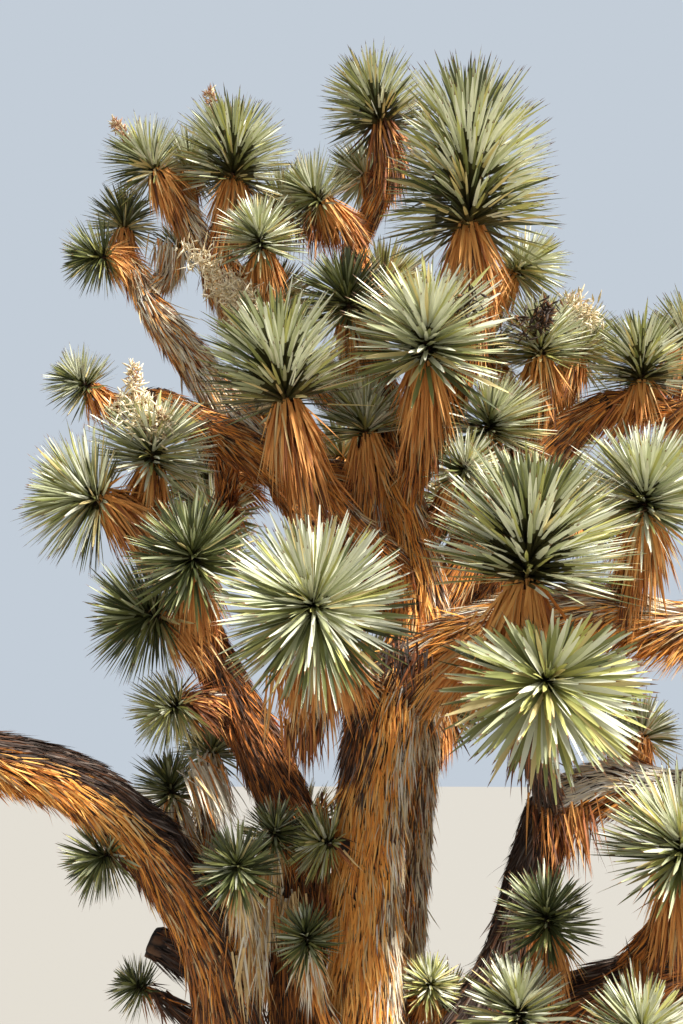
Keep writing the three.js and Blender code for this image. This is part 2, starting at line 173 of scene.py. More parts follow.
# %% The limbs: points of x, y, z and the radius with its thatch
LIMBS = {
    "trunk": [(-4, 0, -60, 330), (4, 0, 110, 222), (15, -5, 330, 192), (20, -10, 560, 200),
              (22, -10, 640, 130)],
    "main_stem": [(30, -50, 500, 125), (55, -65, 950, 106), (80, -70, 1450, 106), (115, -58, 1680, 122),
                  (150, -45, 1830, 138)],
    "rear_stem": [(90, 90, 500, 105), (155, 180, 1050, 85), (195, 185, 1450, 84), (232, 150, 1850, 92),
                  (250, 120, 2050, 84)],
    "left_limb": [(-60, -20, 460, 120), (-230, -90, 780, 105), (-345, -150, 1180, 86),
                  (-490, -200, 1405, 88)],
    "left_arm": [(-470, -195, 1385, 86), (-675, -250, 1545, 78), (-860, -280, 1605, 70),
                 (-1080, -250, 1640, 62), (-1240, -210, 1740, 54)],
    "inner_left_limb": [(-20, 60, 500, 92), (-112, 40, 950, 90), (-128, 10, 1380, 84),
                        (-217, -30, 1610, 77), (-320, -60, 1800, 72)],
    "left_bough": [(-310, -60, 1780, 70), (-385, -65, 1930, 64), (-450, -60, 2080, 58)],
    "right_limb": [(100, 40, 460, 110), (330, 100, 850, 90), (463, 120, 1060, 82), (535, 110, 1280, 78),
                   (600, 95, 1480, 78)],
    "right_arm": [(590, 95, 1470, 74), (762, 60, 1531, 74), (954, 20, 1515, 68), (1170, 0, 1560, 60),
                  (1300, 20, 1660, 52)],
    "low_right_limb": [(110, -70, 460, 100), (360, -110, 830, 80), (560, -140, 1000, 70),
                       (760, -210, 1085, 66), (960, -280, 1125, 58), (1070, -290, 1190, 50)],
    "centre_bough": [(150, -40, 1800, 110), (225, -15, 1960, 92), (205, -20, 2200, 84),
                     (145, -45, 2400, 88)],
    "crown_bough": [(150, -40, 2380, 84), (130, 60, 2620, 78), (90, 130, 2880, 72), (60, 180, 3120, 64),
                    (45, 190, 3280, 56)],
    "high_bough": [(150, -30, 2370, 76), (300, -10, 2600, 68), (375, -90, 2830, 58)],
    "top_left_bough": [(110, 90, 2680, 72), (-60, 130, 2790, 68), (-230, 150, 2920, 64),
                       (-390, 150, 3110, 60), (-430, 130, 3220, 54)],
    "left_middle_bough": [(170, -20, 2330, 78), (-30, 30, 2420, 74), (-200, 60, 2480, 70),
                          (-370, 60, 2580, 64), (-600, 110, 2715, 52)],
    "left_crown_bough": [(-220, 80, 2495, 62), (-330, 110, 2640, 62), (-505, 120, 2885, 60),
                         (-640, 110, 3060, 52)],
    "right_bough": [(160, -60, 1790, 105), (330, -160, 1910, 86), (470, -260, 1950, 78),
                    (700, -210, 1990, 70), (940, -160, 1965, 64), (1120, -150, 2010, 56)],
    "upper_right_bough": [(245, 120, 2000, 82), (400, 120, 2230, 76), (560, 100, 2440, 70),
                          (740, 90, 2620, 62), (840, 60, 2680, 54)],
    "back_left_bough": [(230, 140, 1950, 76), (110, 330, 2140, 70), (-80, 520, 2380, 62),
                        (-230, 620, 2580, 54)],
    "back_right_bough": [(240, 160, 1880, 76), (380, 360, 2060, 70), (560, 560, 2270, 62),
                         (670, 660, 2450, 54)],
}


# %% The heads
# Each row says what the head grows on, how far along, its neck, its aim, and the lengths of its leaves, and
# where they differ from the usual also of its column of leaves and its flower stalk. A number as the first
# entry stands for an earlier head of the same mass.
HEADS = {
    "centre_front_head": [("main_stem", 0.93, (-50, -455, 1920), (-2, -9, 4), 255)],
    "right_front_high_head": [("right_bough", 0.36, (420, -590, 1965), (1, -3, 9), 265, 140)],
    "right_front_low_head": [("right_limb", 1, (440, -610, 1745), (0, -9, 2), 235)],
    "crown_front_right_head": [("centre_bough", 0.8, (230, -330, 2630), (0, -6, 8), 250, 90)],
    "crown_front_left_heads": [
        ("centre_bough", 0.5, (-140, -340, 2500), (-2, -2, 9), 245, 150),
        (0, 0.35, (74, -130, 2488), (-1, -2, 9), 190, 60),
    ],
    "crown_inner_head": [("crown_bough", 0.45, (30, -120, 2880), (-2, -6, 8), 190)],
    "inner_right_heads": [
        ("centre_bough", 0.6, (335, -140, 2380), (3, -8, 4), 130, 40),
        (0, 0.45, (440, -10, 2530), (1, -6, 9), 205),
    ],
    "high_right_heads": [
        ("high_bough", 1, (372, -270, 3065), (0, -1, 7), 265, 320),
        (0, 0.25, (525, 0, 3080), (6, -2, 5), 170),
    ],
    "crown_top_heads": [
        ("crown_bough", 1, (145, 60, 3660), (-2, -1, 6), 200, 110),
        (0, 0.55, (100, 240, 3590), (-3, 4, 6), 150), (0, 0.2, (-50, 60, 3370), (-6, -3, 5), 160),
    ],
    "crown_rear_head": [("crown_bough", 0.86, (140, 430, 3250), (2, 4, 5), 190)],
    "top_left_inner_heads": [
        ("top_left_bough", 1, (-360, 60, 3440), (0, -2, 8), 215, 130, 230),
        (0, 0.4, (-225, 240, 3440), (2, 1, 6), 172), (0, 0.1, (-260, 430, 3200), (0, 5, 4), 185),
    ],
    "top_left_outer_heads": [
        ("top_left_bough", 0.97, (-600, 50, 3475), (-4, -2, 5), 170, 60, 150),
        (0, 0.6, (-530, 170, 3560), (0, 1, 6), 140),
    ],
    "upper_left_front_head": [("top_left_bough", 0.5, (-250, -30, 3145), (-1, -6, 6), 160)],
    "left_crown_heads": [
        ("left_crown_bough", 1, (-755, 90, 3205), (-6, -2, -1), 140, 50),
        (0, 0.4, (-745, 180, 3340), (0, 0, 6), 140), (0, 0.1, (-565, 215, 3280), (2, 1, 6), 115, 50),
    ],
    "left_far_head": [("left_middle_bough", 1, (-815, 180, 2770), (-6, -4, 4), 130, 50)],
    "left_rear_heads": [
        ("left_middle_bough", 0.62, (-410, 260, 2620), (-1, 4, 6), 125, 50),
        (0, 0.4, (-430, 450, 2420), (-3, 7, 1), 180),
    ],
    "left_high_heads": [
        ("left_bough", 1, (-550, -120, 2400), (1, -3, 7), 205, 70, 210),
        (0, 0.45, (-650, -160, 2300), (-9, -2, 2), 215),
    ],
    "left_middle_heads": [
        ("left_bough", 0.45, (-380, -320, 2060), (0, -7, 6), 190),
        (0, 0.45, (-455, -230, 1975), (-8, -3, -1), 190),
    ],
    "inner_left_head": [("inner_left_limb", 0.98, (-415, -150, 1752), (-6, -3, -3), 132, 50)],
    "grey_limb_heads": [
        ("inner_left_limb", 0.55, (-480, 80, 1478), (-1, -1, 6), 134, 50),
        (0, 0.6, (-410, 320, 1600), (0, 4, 5), 130),
    ],
    "left_arm_end_heads": [
        ("left_arm", 1, (-1330, -190, 2010), (-1, 0, 7), 200, 70),
        (0, 0.35, (-1450, -260, 1800), (-7, -3, 2), 185), (0, 0.35, (-1290, -10, 1850), (0, 7, 4), 175),
    ],
    "left_under_head": [("left_limb", 0.95, (-568, -215, 1380), (-6, -3, -3), 120, 40)],
    "low_left_heads": [
        ("left_limb", 0.5, (-252, -270, 1315), (0, -6, 5), 118, 50),
        (0, 0.55, (-180, -160, 1385), (2, -4, 7), 105, 40),
    ],
    "stem_side_head": [("main_stem", 0.56, (-10, -150, 1390), (-8, -3, 1), 122, 40)],
    "stem_front_head": [("main_stem", 0.22, (-80, -255, 1150), (-1, -4, 7), 96, 40)],
    "stump_head": [("left_limb", 0.22, (-500, -60, 1020), (-6, -2, 3), 85, 35)],
    "low_rear_heads": [
        ("rear_stem", 0.2, (300, 400, 850), (3, 5, 5), 130, 45),
        ("rear_stem", 0.3, (232, 55, 985), (1, -3, 5), 95, 35),
    ],
    "low_centre_head": [("low_right_limb", 0.32, (408, -340, 990), (0, -2, 8), 150, 50)],
    "right_shaded_head": [("low_right_limb", 0.5, (504, -260, 1180), (-1, -3, 7), 135)],
    "low_right_heads": [
        ("low_right_limb", 0.68, (790, -410, 1350), (-1, -5, 7), 210),
        (0, 0.2, (640, -500, 985), (0, -3, 7), 145, 50),
    ],
    "low_right_end_heads": [
        ("low_right_limb", 1, (1190, -310, 1440), (3, -1, 7), 200),
        (0, 0.4, (1290, -190, 1270), (6, 2, 2), 170),
    ],
    "right_arm_heads": [
        ("right_arm", 0.42, (930, 300, 1650), (3, 4, 6), 130, 50),
        (0, 0.55, (830, 240, 1640), (-3, 1, 6), 115, 45),
    ],
    "right_arm_end_heads": [
        ("right_arm", 1, (1400, 60, 1910), (1, 0, 7), 205, 80),
        (0, 0.3, (1500, -90, 1700), (7, -3, 2), 190), (0, 0.3, (1330, 230, 1750), (1, 7, 3), 180),
    ],
    "right_middle_head": [("right_bough", 0.63, (790, -330, 2200), (0, -4, 7), 235, 70)],
    "right_bough_end_heads": [
        ("right_bough", 1, (1220, -130, 2230), (1, -1, 7), 205, 80),
        (0, 0.3, (1330, -260, 2060), (7, -4, 1), 190),
    ],
    "upper_right_heads": [
        ("upper_right_bough", 1, (925, 0, 2700), (0, -1, 7), 185, 110),
        (0, 0.4, (1120, -60, 2640), (6, -3, 3), 180), (0, 0.5, (1140, 170, 2900), (3, 2, 6), 190),
    ],
    "right_crown_heads": [
        ("upper_right_bough", 0.52, (620, 10, 2790), (0, -2, 7), 180, 80),
        (0, 0.4, (480, 110, 2830), (-3, 1, 7), 160), (0, 0.5, (770, 190, 2880), (3, 1, 7), 165, 60, 150),
        (0, 0.3, (700, 430, 2720), (1, 7, 3), 185),
    ],
    "back_left_heads": [
        ("back_left_bough", 1, (-320, 700, 2840), (-2, 2, 7), 200, 80),
        (0, 0.3, (-460, 680, 2600), (-8, 2, 1), 190), (0, 0.15, (-10, 690, 2670), (3, 3, 6), 190),
    ],
    "back_right_heads": [
        ("back_right_bough", 1, (760, 730, 2740), (2, 2, 7), 205, 80),
        (0, 0.3, (880, 770, 2500), (7, 4, 1), 190), (0, 0.2, (470, 750, 2520), (-3, 6, 4), 185),
    ],
    "back_low_heads": [
        ("rear_stem", 0.6, (330, 500, 1760), (2, 6, 5), 185), (0, 0.4, (110, 520, 1850), (-3, 6, 4), 180),
        (0, 0.25, (-75, 330, 1400), (-5, 3, 4), 125),
    ],
}


def traits_of(name):
    """In what a mass differs from the usual."""
    return TRAITS.get(name, "").split()


def head(on, along, at, aim, leaf, column=60, flower=0):
    """One head of leaves, in metres. It grows a share of the way along its limb or earlier head."""
    return {"on": on, "along": along, "at": np.array(at) * MM, "aim": np.array(aim) / np.linalg.norm(aim),
            "leaf": leaf * MM, "column": column * MM, "flower": flower * MM}


# Masses that differ from the usual: in the colour of their leaves, with young leaves only (upright) or
# broader ones (broad), in their skirt, or in the thatch on their stems. The leaf colours are painted light
# and shade: pale is painted sunlight, the painted half shade is darker, shaded is painted full shade, and
# yellow is yellower, with painted sunlight on the low heads at the back.
TRAITS = {
    "right_front_high_head": "pale upright", "right_front_low_head": "yellow broad thin_skirt dark_stem",
    "crown_front_right_head": "pale broad", "crown_front_left_heads": "dusky upright",
    "crown_inner_head": "shaded", "inner_right_heads": "dusky", "top_left_outer_heads": "dusky pale_stem",
    "left_crown_heads": "shaded pale_stem", "left_far_head": "dusky", "left_rear_heads": "dusky",
    "left_middle_heads": "shaded", "inner_left_head": "yellow", "grey_limb_heads": "shaded pale_stem",
    "left_arm_end_heads": "broad", "left_under_head": "shaded thin_skirt dark_stem",
    "low_left_heads": "shaded", "stem_side_head": "yellow upright thin_skirt dark_stem",
    "stem_front_head": "shaded", "stump_head": "shaded thin_skirt dark_stem", "low_rear_heads": "yellow",
    "low_centre_head": "upright broad", "right_shaded_head": "shaded", "low_right_heads": "upright",
    "right_arm_end_heads": "broad", "right_middle_head": "pale", "right_bough_end_heads": "pale_stem",
    "back_left_heads": "broad", "back_right_heads": "broad", "back_low_heads": "yellow broad",
}
MASSES = {name: [head(*row) for row in rows] for name, rows in HEADS.items()}
print(len(LIMBS), "limbs,", sum(map(len, MASSES.values())), "heads in", len(MASSES), "masses")

# %% [markdown]
# ## Lines to grow along
#
# A limb's route becomes a smooth line: a curve through its points, with a radius and a small frame of
# three directions at every station. Branchlets bend like a Bezier curve, from the limb into the head's aim.


# %% Smooth lines with a frame at every station
def unit(vectors):
    """Vectors divided by their own length."""
    return vectors / np.linalg.norm(vectors, axis=-1, keepdims=True)


def across(way, other):
    """The part of one direction that stands square to a way, at length 1."""
    return unit(other - way * np.sum(way * other, axis=-1, keepdims=True))


def leant(way, other, angle):
    """A way turned by an angle towards another that is square to it."""
    return way * np.cos(angle)[:, None] + other * np.sin(angle)[:, None]


def smooth_curve(points, places):
    """Points on a centripetal Catmull-Rom curve, at places counted in given points from the first one.

    Each stretch is the cubic with the given ends, whose slopes weigh the neighbouring stretches by the
    square roots of their lengths. The ends have a mirrored neighbour.
    """
    padded = np.vstack([2 * points[0] - points[1], points, 2 * points[-1] - points[-2]])
    gap = np.sqrt(np.linalg.norm(np.diff(padded, axis=0), axis=1))
    first = np.clip(places.astype(int), 0, len(points) - 2)
    t = (places - first)[:, None]
    before, here, there, after = (padded[first + i] for i in range(4))
    gap0, gap1, gap2 = (gap[first + i][:, None] for i in range(3))
    middle_slope = (there - here) / gap1
    leave = ((here - before) / gap0 - (there - before) / (gap0 + gap1) + middle_slope) * gap1
    arrive = (middle_slope - (after - here) / (gap1 + gap2) + (after - there) / gap2) * gap1
    ease = t * t * (3 - 2 * t)
    return (1 - ease) * here + ease * there + t * (1 - t) ** 2 * leave - t * t * (1 - t) * arrive


def as_line(middle, girth):
    """A line's stations: middle, girth, way along it, two ways across it, and length from the start.

    The ways across come from the axis that the line follows least, so they never swing round.
    """
    along = unit(np.gradient(middle, axis=0))
    least = np.eye(3)[np.argmin(np.abs(along).max(axis=0))]
    side = unit(np.cross(along, least))
    steps = np.linalg.norm(np.diff(middle, axis=0), axis=1)
    return {"middle": middle, "girth": girth, "along": along, "side": side, "across": np.cross(side, along),
            "length": np.append(0, np.cumsum(steps))}


def at_length(line, where):
    """Everything a line holds, read at lengths from its start by going evenly between stations."""
    place = np.interp(where, line["length"], np.arange(len(line["length"])))
    first = np.clip(place.astype(int), 0, len(line["length"]) - 2)
    t = place - first
    read = {key: values[first] + (values[first + 1] - values[first]) * (t if values.ndim == 1 else t[:, None])
            for key, values in line.items()}
    read["along"] = unit(read["along"])
    return read


# %% Lines of the limbs
STATIONS_PER_POINT = 24


def limb_line(route):
    """A limb's line, with many stations between two of its points."""
    route = np.array(route, float) * MM
    places = np.linspace(0, len(route) - 1, (len(route) - 1) * STATIONS_PER_POINT + 1)
    girth = np.interp(places, np.arange(len(route)), route[:, 3])
    line = as_line(smooth_curve(route[:, :3], places), girth)
    above = line["middle"][:, 2] > 0
    return as_line(line["middle"][above], girth[above])


limb_lines = {name: limb_line(route) for name, route in LIMBS.items()}
print("limbs are", round(sum(line["length"][-1] for line in limb_lines.values()), 1), "m long in all")

# %% Lines of the branchlets that carry the heads
STEM_START = 0.35
STEM_END = 0.45
BRANCHLET_GIRTH = 46 * MM
CORE_GIRTH = 0.29
CORE_LIFT = 0.4
SLIMMEST = 0.26
STEM_STATIONS = 40
COLUMN_STATIONS = 12
COLUMN_TAPER = (0.85, 0.35)


def column_point(h, share):
    """A point on the line that a head's leaves stand round, a share of the way up its column."""
    lift = CORE_LIFT * CORE_GIRTH * h["leaf"] + np.asarray(share) * h["column"]
    return h["at"] + h["aim"] * lift[..., None]


def stem_line(h, start):
    """A branchlet's line and its neck, as a length along it.

    The line is the cubic Bezier curve from its bearer to the neck, then straight up the column of
    leaves, where it tapers. A small head has a slimmer branchlet.
    """
    span = np.linalg.norm(h["at"] - start)
    corners = [start, start + (h["at"] - start) * STEM_START, h["at"] - h["aim"] * STEM_END * span, h["at"]]
    t = np.linspace(0, 1, STEM_STATIONS)[:, None]
    weights = [(1 - t) ** 3, 3 * t * (1 - t) ** 2, 3 * t * t * (1 - t), t**3]
    stem = sum(weight * corner for weight, corner in zip(weights, corners))
    column = column_point(h, np.linspace(0, 1, COLUMN_STATIONS))
    taper = np.append(np.ones(STEM_STATIONS), np.linspace(*COLUMN_TAPER, COLUMN_STATIONS))
    line = as_line(np.vstack([stem, column]), min(BRANCHLET_GIRTH, SLIMMEST * h["leaf"]) * taper)
    return line, line["length"][STEM_STATIONS - 1]


for mass in MASSES.values():
    for h in mass:
        on_limb = isinstance(h["on"], str)
        bearer = limb_lines[h["on"]] if on_limb else mass[h["on"]]["line"]
        reach = bearer["length"][-1] if on_limb else mass[h["on"]]["neck"]
        start = at_length(bearer, np.array([h["along"] * reach]))["middle"][0]
        h["line"], h["neck"] = stem_line(h, start)
heads = [h for mass in MASSES.values() for h in mass]
print("branchlets are", round(sum(h["neck"] for h in heads), 1), "m long in all")

# %% [markdown]
# ## Materials
#
# Living or dead, a leaf is a bundle of fibres, so light catches fine lines that run along it. One node
# group makes those lines from noise that is stretched along the blade, and each leaf colour is a plain
# one, dealt out leaf by leaf. Bark needs a second group: pale plates, dark furrows, and grain.


# %% A node group for the fibres that run along a blade
def group_with(name, inputs, outputs):
    """An empty shader node group with named sockets, what it is given, and the node for its result."""
    group = bpy.data.node_groups.new(name, "ShaderNodeTree")
    for label, kind in inputs:
        group.interface.new_socket(label, in_out="INPUT", socket_type=kind)
    for label, kind in outputs:
        group.interface.new_socket(label, in_out="OUTPUT", socket_type=kind)
    return group, group.nodes.new("NodeGroupInput").outputs, group.nodes.new("NodeGroupOutput")


FLOAT = "NodeSocketFloat"
COLOUR = "NodeSocketColor"
VECTOR = "NodeSocketVector"
FIBRES_ACROSS = 14
FIBRES_ALONG = 3


def make_fibres():
    """Fibres: noise drawn out along the blade. Smoother on top of a fibre, rougher between two."""
    sockets = [("UV", VECTOR), ("Smoothest", FLOAT), ("Roughest", FLOAT), ("Depth", FLOAT)]
    group, given, result = group_with("fibres", sockets, [("Roughness", FLOAT), ("Normal", VECTOR)])
    stretch = {"Vector": given["UV"], "Scale": (FIBRES_ACROSS, FIBRES_ALONG, 1)}
    place = result_of(group, "Mapping", "Vector", stretch)
    fibre = result_of(group, "TexNoise", "Fac", {"Vector": place, "Scale": 1, "Detail": 3})
    spread = {"Value": fibre, "To Min": given["Roughest"], "To Max": given["Smoothest"]}
    relief = {"Height": fibre, "Distance": 0.001, "Strength": given["Depth"]}
    feed(group, result, {"Roughness": result_of(group, "MapRange", "Result", spread),
                         "Normal": result_of(group, "Bump", "Normal", relief)})
    return group


fibres = make_fibres()


def group_in(tree, group, inputs):
    """The outputs of a node group that is put into a tree with the given inputs."""
    node = tree.nodes.new("ShaderNodeGroup")
    node.node_tree = group
    feed(tree, node, inputs)
    return node.outputs


def tinted(kind, tints, smoothest, roughest, depth):
    """A material with fibres for each tint of a kind, and the number of each tint."""
    materials = []
    for name, colour in tints.items():
        material, tree = new_material(f"{kind} {name}", colour, roughest)
        place = result_of(tree, "TexCoord", "UV", {})
        values = {"UV": place, "Smoothest": smoothest, "Roughest": roughest, "Depth": depth}
        lines = group_in(tree, fibres, values)
        wanted = {"Roughness": lines["Roughness"], "Normal": lines["Normal"]}
        feed(tree, tree.nodes["Principled BSDF"], wanted)
        materials.append(material)
    return materials, {name: number for number, name in enumerate(tints)}


# %% The leaf colours: living, dead, and long dead
living_materials, LIVING = tinted("living", {
    "pale_sage": "#E6E7D0", "sage": "#BABE96", "olive": "#868A54", "deep_green": "#4E5534",
    "yellow_green": "#C0BE74", "straw": "#DAC78C"}, 0.22, 0.38, 0.5)
# The dark olive of the leaf base is painted shade deep in the head, where the real base is paler.
SHADED_LEAF_BASE = len(living_materials)
SPINE_TIP = SHADED_LEAF_BASE + 1
living_materials += tinted("leaf", {"base": "#4F4D2C"}, 0.4, 0.55, 0.4)[0]
living_materials += tinted("spine", {"tip": "#7A5633"}, 0.5, 0.7, 0.3)[0]
dead_materials, DEAD = tinted("dead", {
    "bright_orange": "#F2B063", "rust": "#DB934C", "red_brown": "#A9663A", "dark_rust": "#6A4128",
    # The last, near-black tint is painted shadow.
    "tan": "#E8C88E", "bleached": "#F1E8D2", "sooty": "#33261E"}, 0.6, 0.85, 0.8)
thatch_materials, THATCH = tinted("thatch", {
    "gold": "#FFC068", "amber": "#F5A54A", "rust": "#CE7F3A", "brown": "#9A6238", "dark_brown": "#63412B",
    "umber": "#3C2B22", "charcoal": "#4A403A", "grey_brown": "#85756A", "sand": "#DDBD88",
    "bleached": "#F0E4C8", "silver": "#E4DFD4"}, 0.7, 0.95, 0.9)
print("leaf colours:", [len(materials) for materials in (living_materials, dead_materials, thatch_materials)])


# %% A node group for bark
CLOUD_SCALE = 9
GRAIN_SCALE = 110
BARK_ROUGHNESS = (0.75, 0.98)
PLAIN_BARK_ROUGHNESS = 0.9
GRAIN_STRENGTH = 0.7
GRAIN_DEPTH = 4 * MM


def make_bark():
    """Bark: the plate's colour, clouded with a weathered one, and the cleft's colour in the furrows.

    The furrow comes from the mesh as a number for each point, so colour and relief fall together.
    """
    sockets = [("Furrow", FLOAT), ("Plate", COLOUR), ("Weathered", COLOUR), ("Cleft", COLOUR)]
    outcome = [("Color", COLOUR), ("Roughness", FLOAT), ("Height", FLOAT)]
    group, given, result = group_with("bark", sockets, outcome)
    low, high = BARK_ROUGHNESS

    def made(kind, output, inputs, **settings):
        return result_of(group, kind, output, inputs, **settings)

    def mixed(mask, first, second):
        return made("Mix", 2, {"Factor": mask, 6: first, 7: second}, data_type="RGBA")

    place = made("TexCoord", "Object", {})
    clouds = made("TexNoise", "Fac", {"Vector": place, "Scale": CLOUD_SCALE, "Detail": 5})
    grain = made("TexNoise", "Fac", {"Vector": place, "Scale": GRAIN_SCALE, "Detail": 6})
    weathered = made("MapRange", "Result", {"Value": clouds, "From Min": 0.4, "From Max": 0.6})
    rough_edge = made("Math", "Value", {0: grain, 1: 0.5, 2: given["Furrow"]}, operation="MULTIPLY_ADD")
    cleft = made("MapRange", "Result", {"Value": rough_edge, "From Min": 0.4, "From Max": 0.95})
    surface = mixed(weathered, given["Plate"], given["Weathered"])
    feed(group, result, {
        "Color": mixed(cleft, surface, given["Cleft"]),
        "Roughness": made("MapRange", "Result", {"Value": grain, "To Min": low, "To Max": high}),
        "Height": grain,
    })
    return group


bark = make_bark()


def bark_material(name, plate, weathered, cleft):
    """Bark of three colours, with grain in its bump."""
    material, tree = new_material(name, plate, PLAIN_BARK_ROUGHNESS)
    furrow = result_of(tree, "Attribute", "Fac", {}, attribute_name="furrow")
    colours = {"Plate": linear(plate), "Weathered": linear(weathered), "Cleft": linear(cleft)}
    layers = group_in(tree, bark, {"Furrow": furrow, **colours})
    relief = {"Height": layers["Height"], "Strength": GRAIN_STRENGTH, "Distance": GRAIN_DEPTH}
    feed(tree, tree.nodes["Principled BSDF"], {
        "Base Color": layers["Color"],
        "Roughness": layers["Roughness"],
        "Normal": result_of(tree, "Bump", "Normal", relief),
    })
    return material


trunk_bark = bark_material("corky trunk bark", "#7B6248", "#9A876C", "#473425")
# The bark under the thatch is dark brown: its own colour, darkened further to paint the shade in the gaps
# between the strips.
limb_bark = bark_material("bark under the thatch", "#4A3222", "#5E412B", "#1E150F")
print("bark on", trunk_bark.name, "and", limb_bark.name)

# %% [markdown]
# ## Trunk and limbs
#
# An old trunk sheds its thatch and shows corky bark, broken into small plates by furrows. The plates are
# cells: a point lies in a furrow where the nearest two of many scattered points are equally far. The
# same tube, narrower, is the stem inside every limb, where it shows between the dead leaves.


# %% Bark relief on a closed tube
def new_piece(name, points, triangles, materials, which=None, uv=None):
    """A mesh object from arrays, riding on the root, with a material number for each triangle."""
    mesh = bpy.data.meshes.new(name)
    mesh.vertices.add(len(points))
    mesh.vertices.foreach_set("co", points.astype(np.float32).ravel())
    mesh.loops.add(triangles.size)
    mesh.loops.foreach_set("vertex_index", triangles.astype(np.int32).ravel())
    mesh.polygons.add(len(triangles))
    mesh.polygons.foreach_set("loop_start", np.arange(0, triangles.size, 3, dtype=np.int32))
    for material in materials:
        mesh.materials.append(material)
    if which is not None:
        mesh.polygons.foreach_set("material_index", which.astype(np.int32))
    if uv is not None:
        layer = mesh.uv_layers.new(name="UVMap")
        layer.data.foreach_set("uv", uv[triangles].astype(np.float32).ravel())
    mesh.update(calc_edges=True)
    piece = placed(name, mesh)
    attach(piece, "root")
    return piece


CELL_MARGIN = 0.12
FURROW_WIDTH = 0.42


def furrows(u, v, columns, rows):
    """How much of a furrow lies at u (once round the tube) and v (once along it): 1 between two plates.

    Each cell of a grid, which closes round the tube, holds one scattered point. The furrow is
    1 - (F2 - F1) / width, where F1 and F2 are the distances to the nearest two points, in cells.
    """
    scatter = rng.uniform(CELL_MARGIN, 1 - CELL_MARGIN, (rows + 2, columns, 2))
    x = u * columns
    y = v * rows
    distances = []
    for down in (-1, 0, 1):
        for right in (-1, 0, 1):
            row = np.clip(np.floor(y).astype(int) + down, -1, rows) + 1
            column = np.floor(x).astype(int) + right
            point = scatter[row, column % columns]
            distances.append(np.hypot(column + point[..., 0] - x, row - 1 + point[..., 1] - y))
    nearest = np.sort(np.stack(distances), axis=0)
    return np.clip(1 - (nearest[1] - nearest[0]) / FURROW_WIDTH, 0, 1)


def tube_triangles(rings, sides):
    """The triangles of a tube, facing outwards, with poles at both ends, which are the last two points.

    Its sides run round from the first way across its line to the second, as in a line's frame.
    """
    ring = np.arange(rings - 1)[:, None] * sides
    here = np.arange(sides)
    after = (here + 1) % sides
    a, b = ring + here, ring + after
    c, d = a + sides, b + sides
    walls = np.stack([np.stack([a, d, b], -1), np.stack([a, c, d], -1)]).reshape(-1, 3)
    bottom = np.full(sides, rings * sides)
    last = (rings - 1) * sides
    caps = [np.stack([here, after, bottom], -1), np.stack([last + after, last + here, bottom + 1], -1)]
    return np.concatenate([walls, *caps])


def bark_tube(line, share, spacing, sides, plate, depth, flare=None):
    """A closed bark tube's points, triangles and furrows: radius = girth · share - depth · furrow.

    Its rings are a spacing apart. A plate is the width and height of a bark plate. A flare multiplies
    the radius, by height and turn.
    """
    rings = max(int(line["length"][-1] / spacing), 4)
    here = at_length(line, np.linspace(0, line["length"][-1], rings))
    turn = np.linspace(0, 2 * np.pi, sides, endpoint=False)
    u, v = np.meshgrid(turn / (2 * np.pi), np.linspace(0, 1, rings))
    mean_girth = here["girth"].mean() * share
    columns = max(int(2 * np.pi * mean_girth / plate[0]), 5)
    rows = max(int(line["length"][-1] / plate[1]), 3)
    furrow = furrows(u, v, columns, rows)
    radius = here["girth"][:, None] * share - depth * furrow
    if flare:
        radius = radius * flare(here["middle"][:, 2:3], turn[None])
    out = leant(here["side"][:, None], here["across"][:, None], turn)
    points = (here["middle"][:, None] + out * radius[..., None]).reshape(-1, 3)
    points = np.vstack([points, here["middle"][[0, -1]]])
    return points, tube_triangles(rings, sides), np.append(furrow.ravel(), [0, 0])


def joined(parts):
    """Several (points, triangles, more...) as one, with the triangles' numbers moved up."""
    sizes = np.cumsum([0] + [len(part[0]) for part in parts[:-1]])
    columns = [list(column) for column in zip(*parts)]
    columns[1] = [triangles + size for triangles, size in zip(columns[1], sizes)]
    return [np.concatenate(column) for column in columns]


def bark_piece(name, tubes, material):
    """A piece of one or more bark tubes, which carries its furrows as a number for each point."""
    points, triangles, furrow = joined(tubes)
    piece = new_piece(name, points, triangles, [material])
    attribute = piece.data.attributes.new("furrow", "FLOAT", "POINT")
    attribute.data.foreach_set("value", furrow.astype(np.float32))
    return piece


# %% The trunk and the stems inside the limbs
ROOT_LOBES = 5
LOBE_DEPTH = 0.09
LOBE_FADE = 0.14
LIMB_CORE = 0.82
# Each tube's share of the girth, spacing, sides, plate and depth.
TRUNK_TUBE = (1.0, 7 * MM, 120, (27 * MM, 66 * MM), 8 * MM)
STUB_TUBE = (1.0, 12 * MM, 24, (30 * MM, 60 * MM), 9 * MM)
LIMB_TUBE = (LIMB_CORE, 16 * MM, 30, (22 * MM, 34 * MM), 5 * MM)
BRANCHLET_TUBE = (0.6, 26 * MM, 8, (22 * MM, 34 * MM), 3 * MM)


def root_flare(height, turn):
    """Root lobes that fade with height: 1 + depth · cos(lobes · turn) · exp(-height / fade)."""
    lobes = np.cos(ROOT_LOBES * turn + 0.8 * np.sin(turn))
    return 1 + LOBE_DEPTH * lobes * np.exp(-height / LOBE_FADE)


trunk_line = limb_lines["trunk"]
trunk_line["along"][:] = UP
trunk_line["side"][:] = (1, 0, 0)
trunk_line["across"][:] = (0, -1, 0)
trunk_line["middle"][0, 2] = 0
trunk_tube = bark_tube(trunk_line, *TRUNK_TUBE, root_flare)
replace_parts(bark_piece("trunk_bark", [trunk_tube], trunk_bark), "trunk")

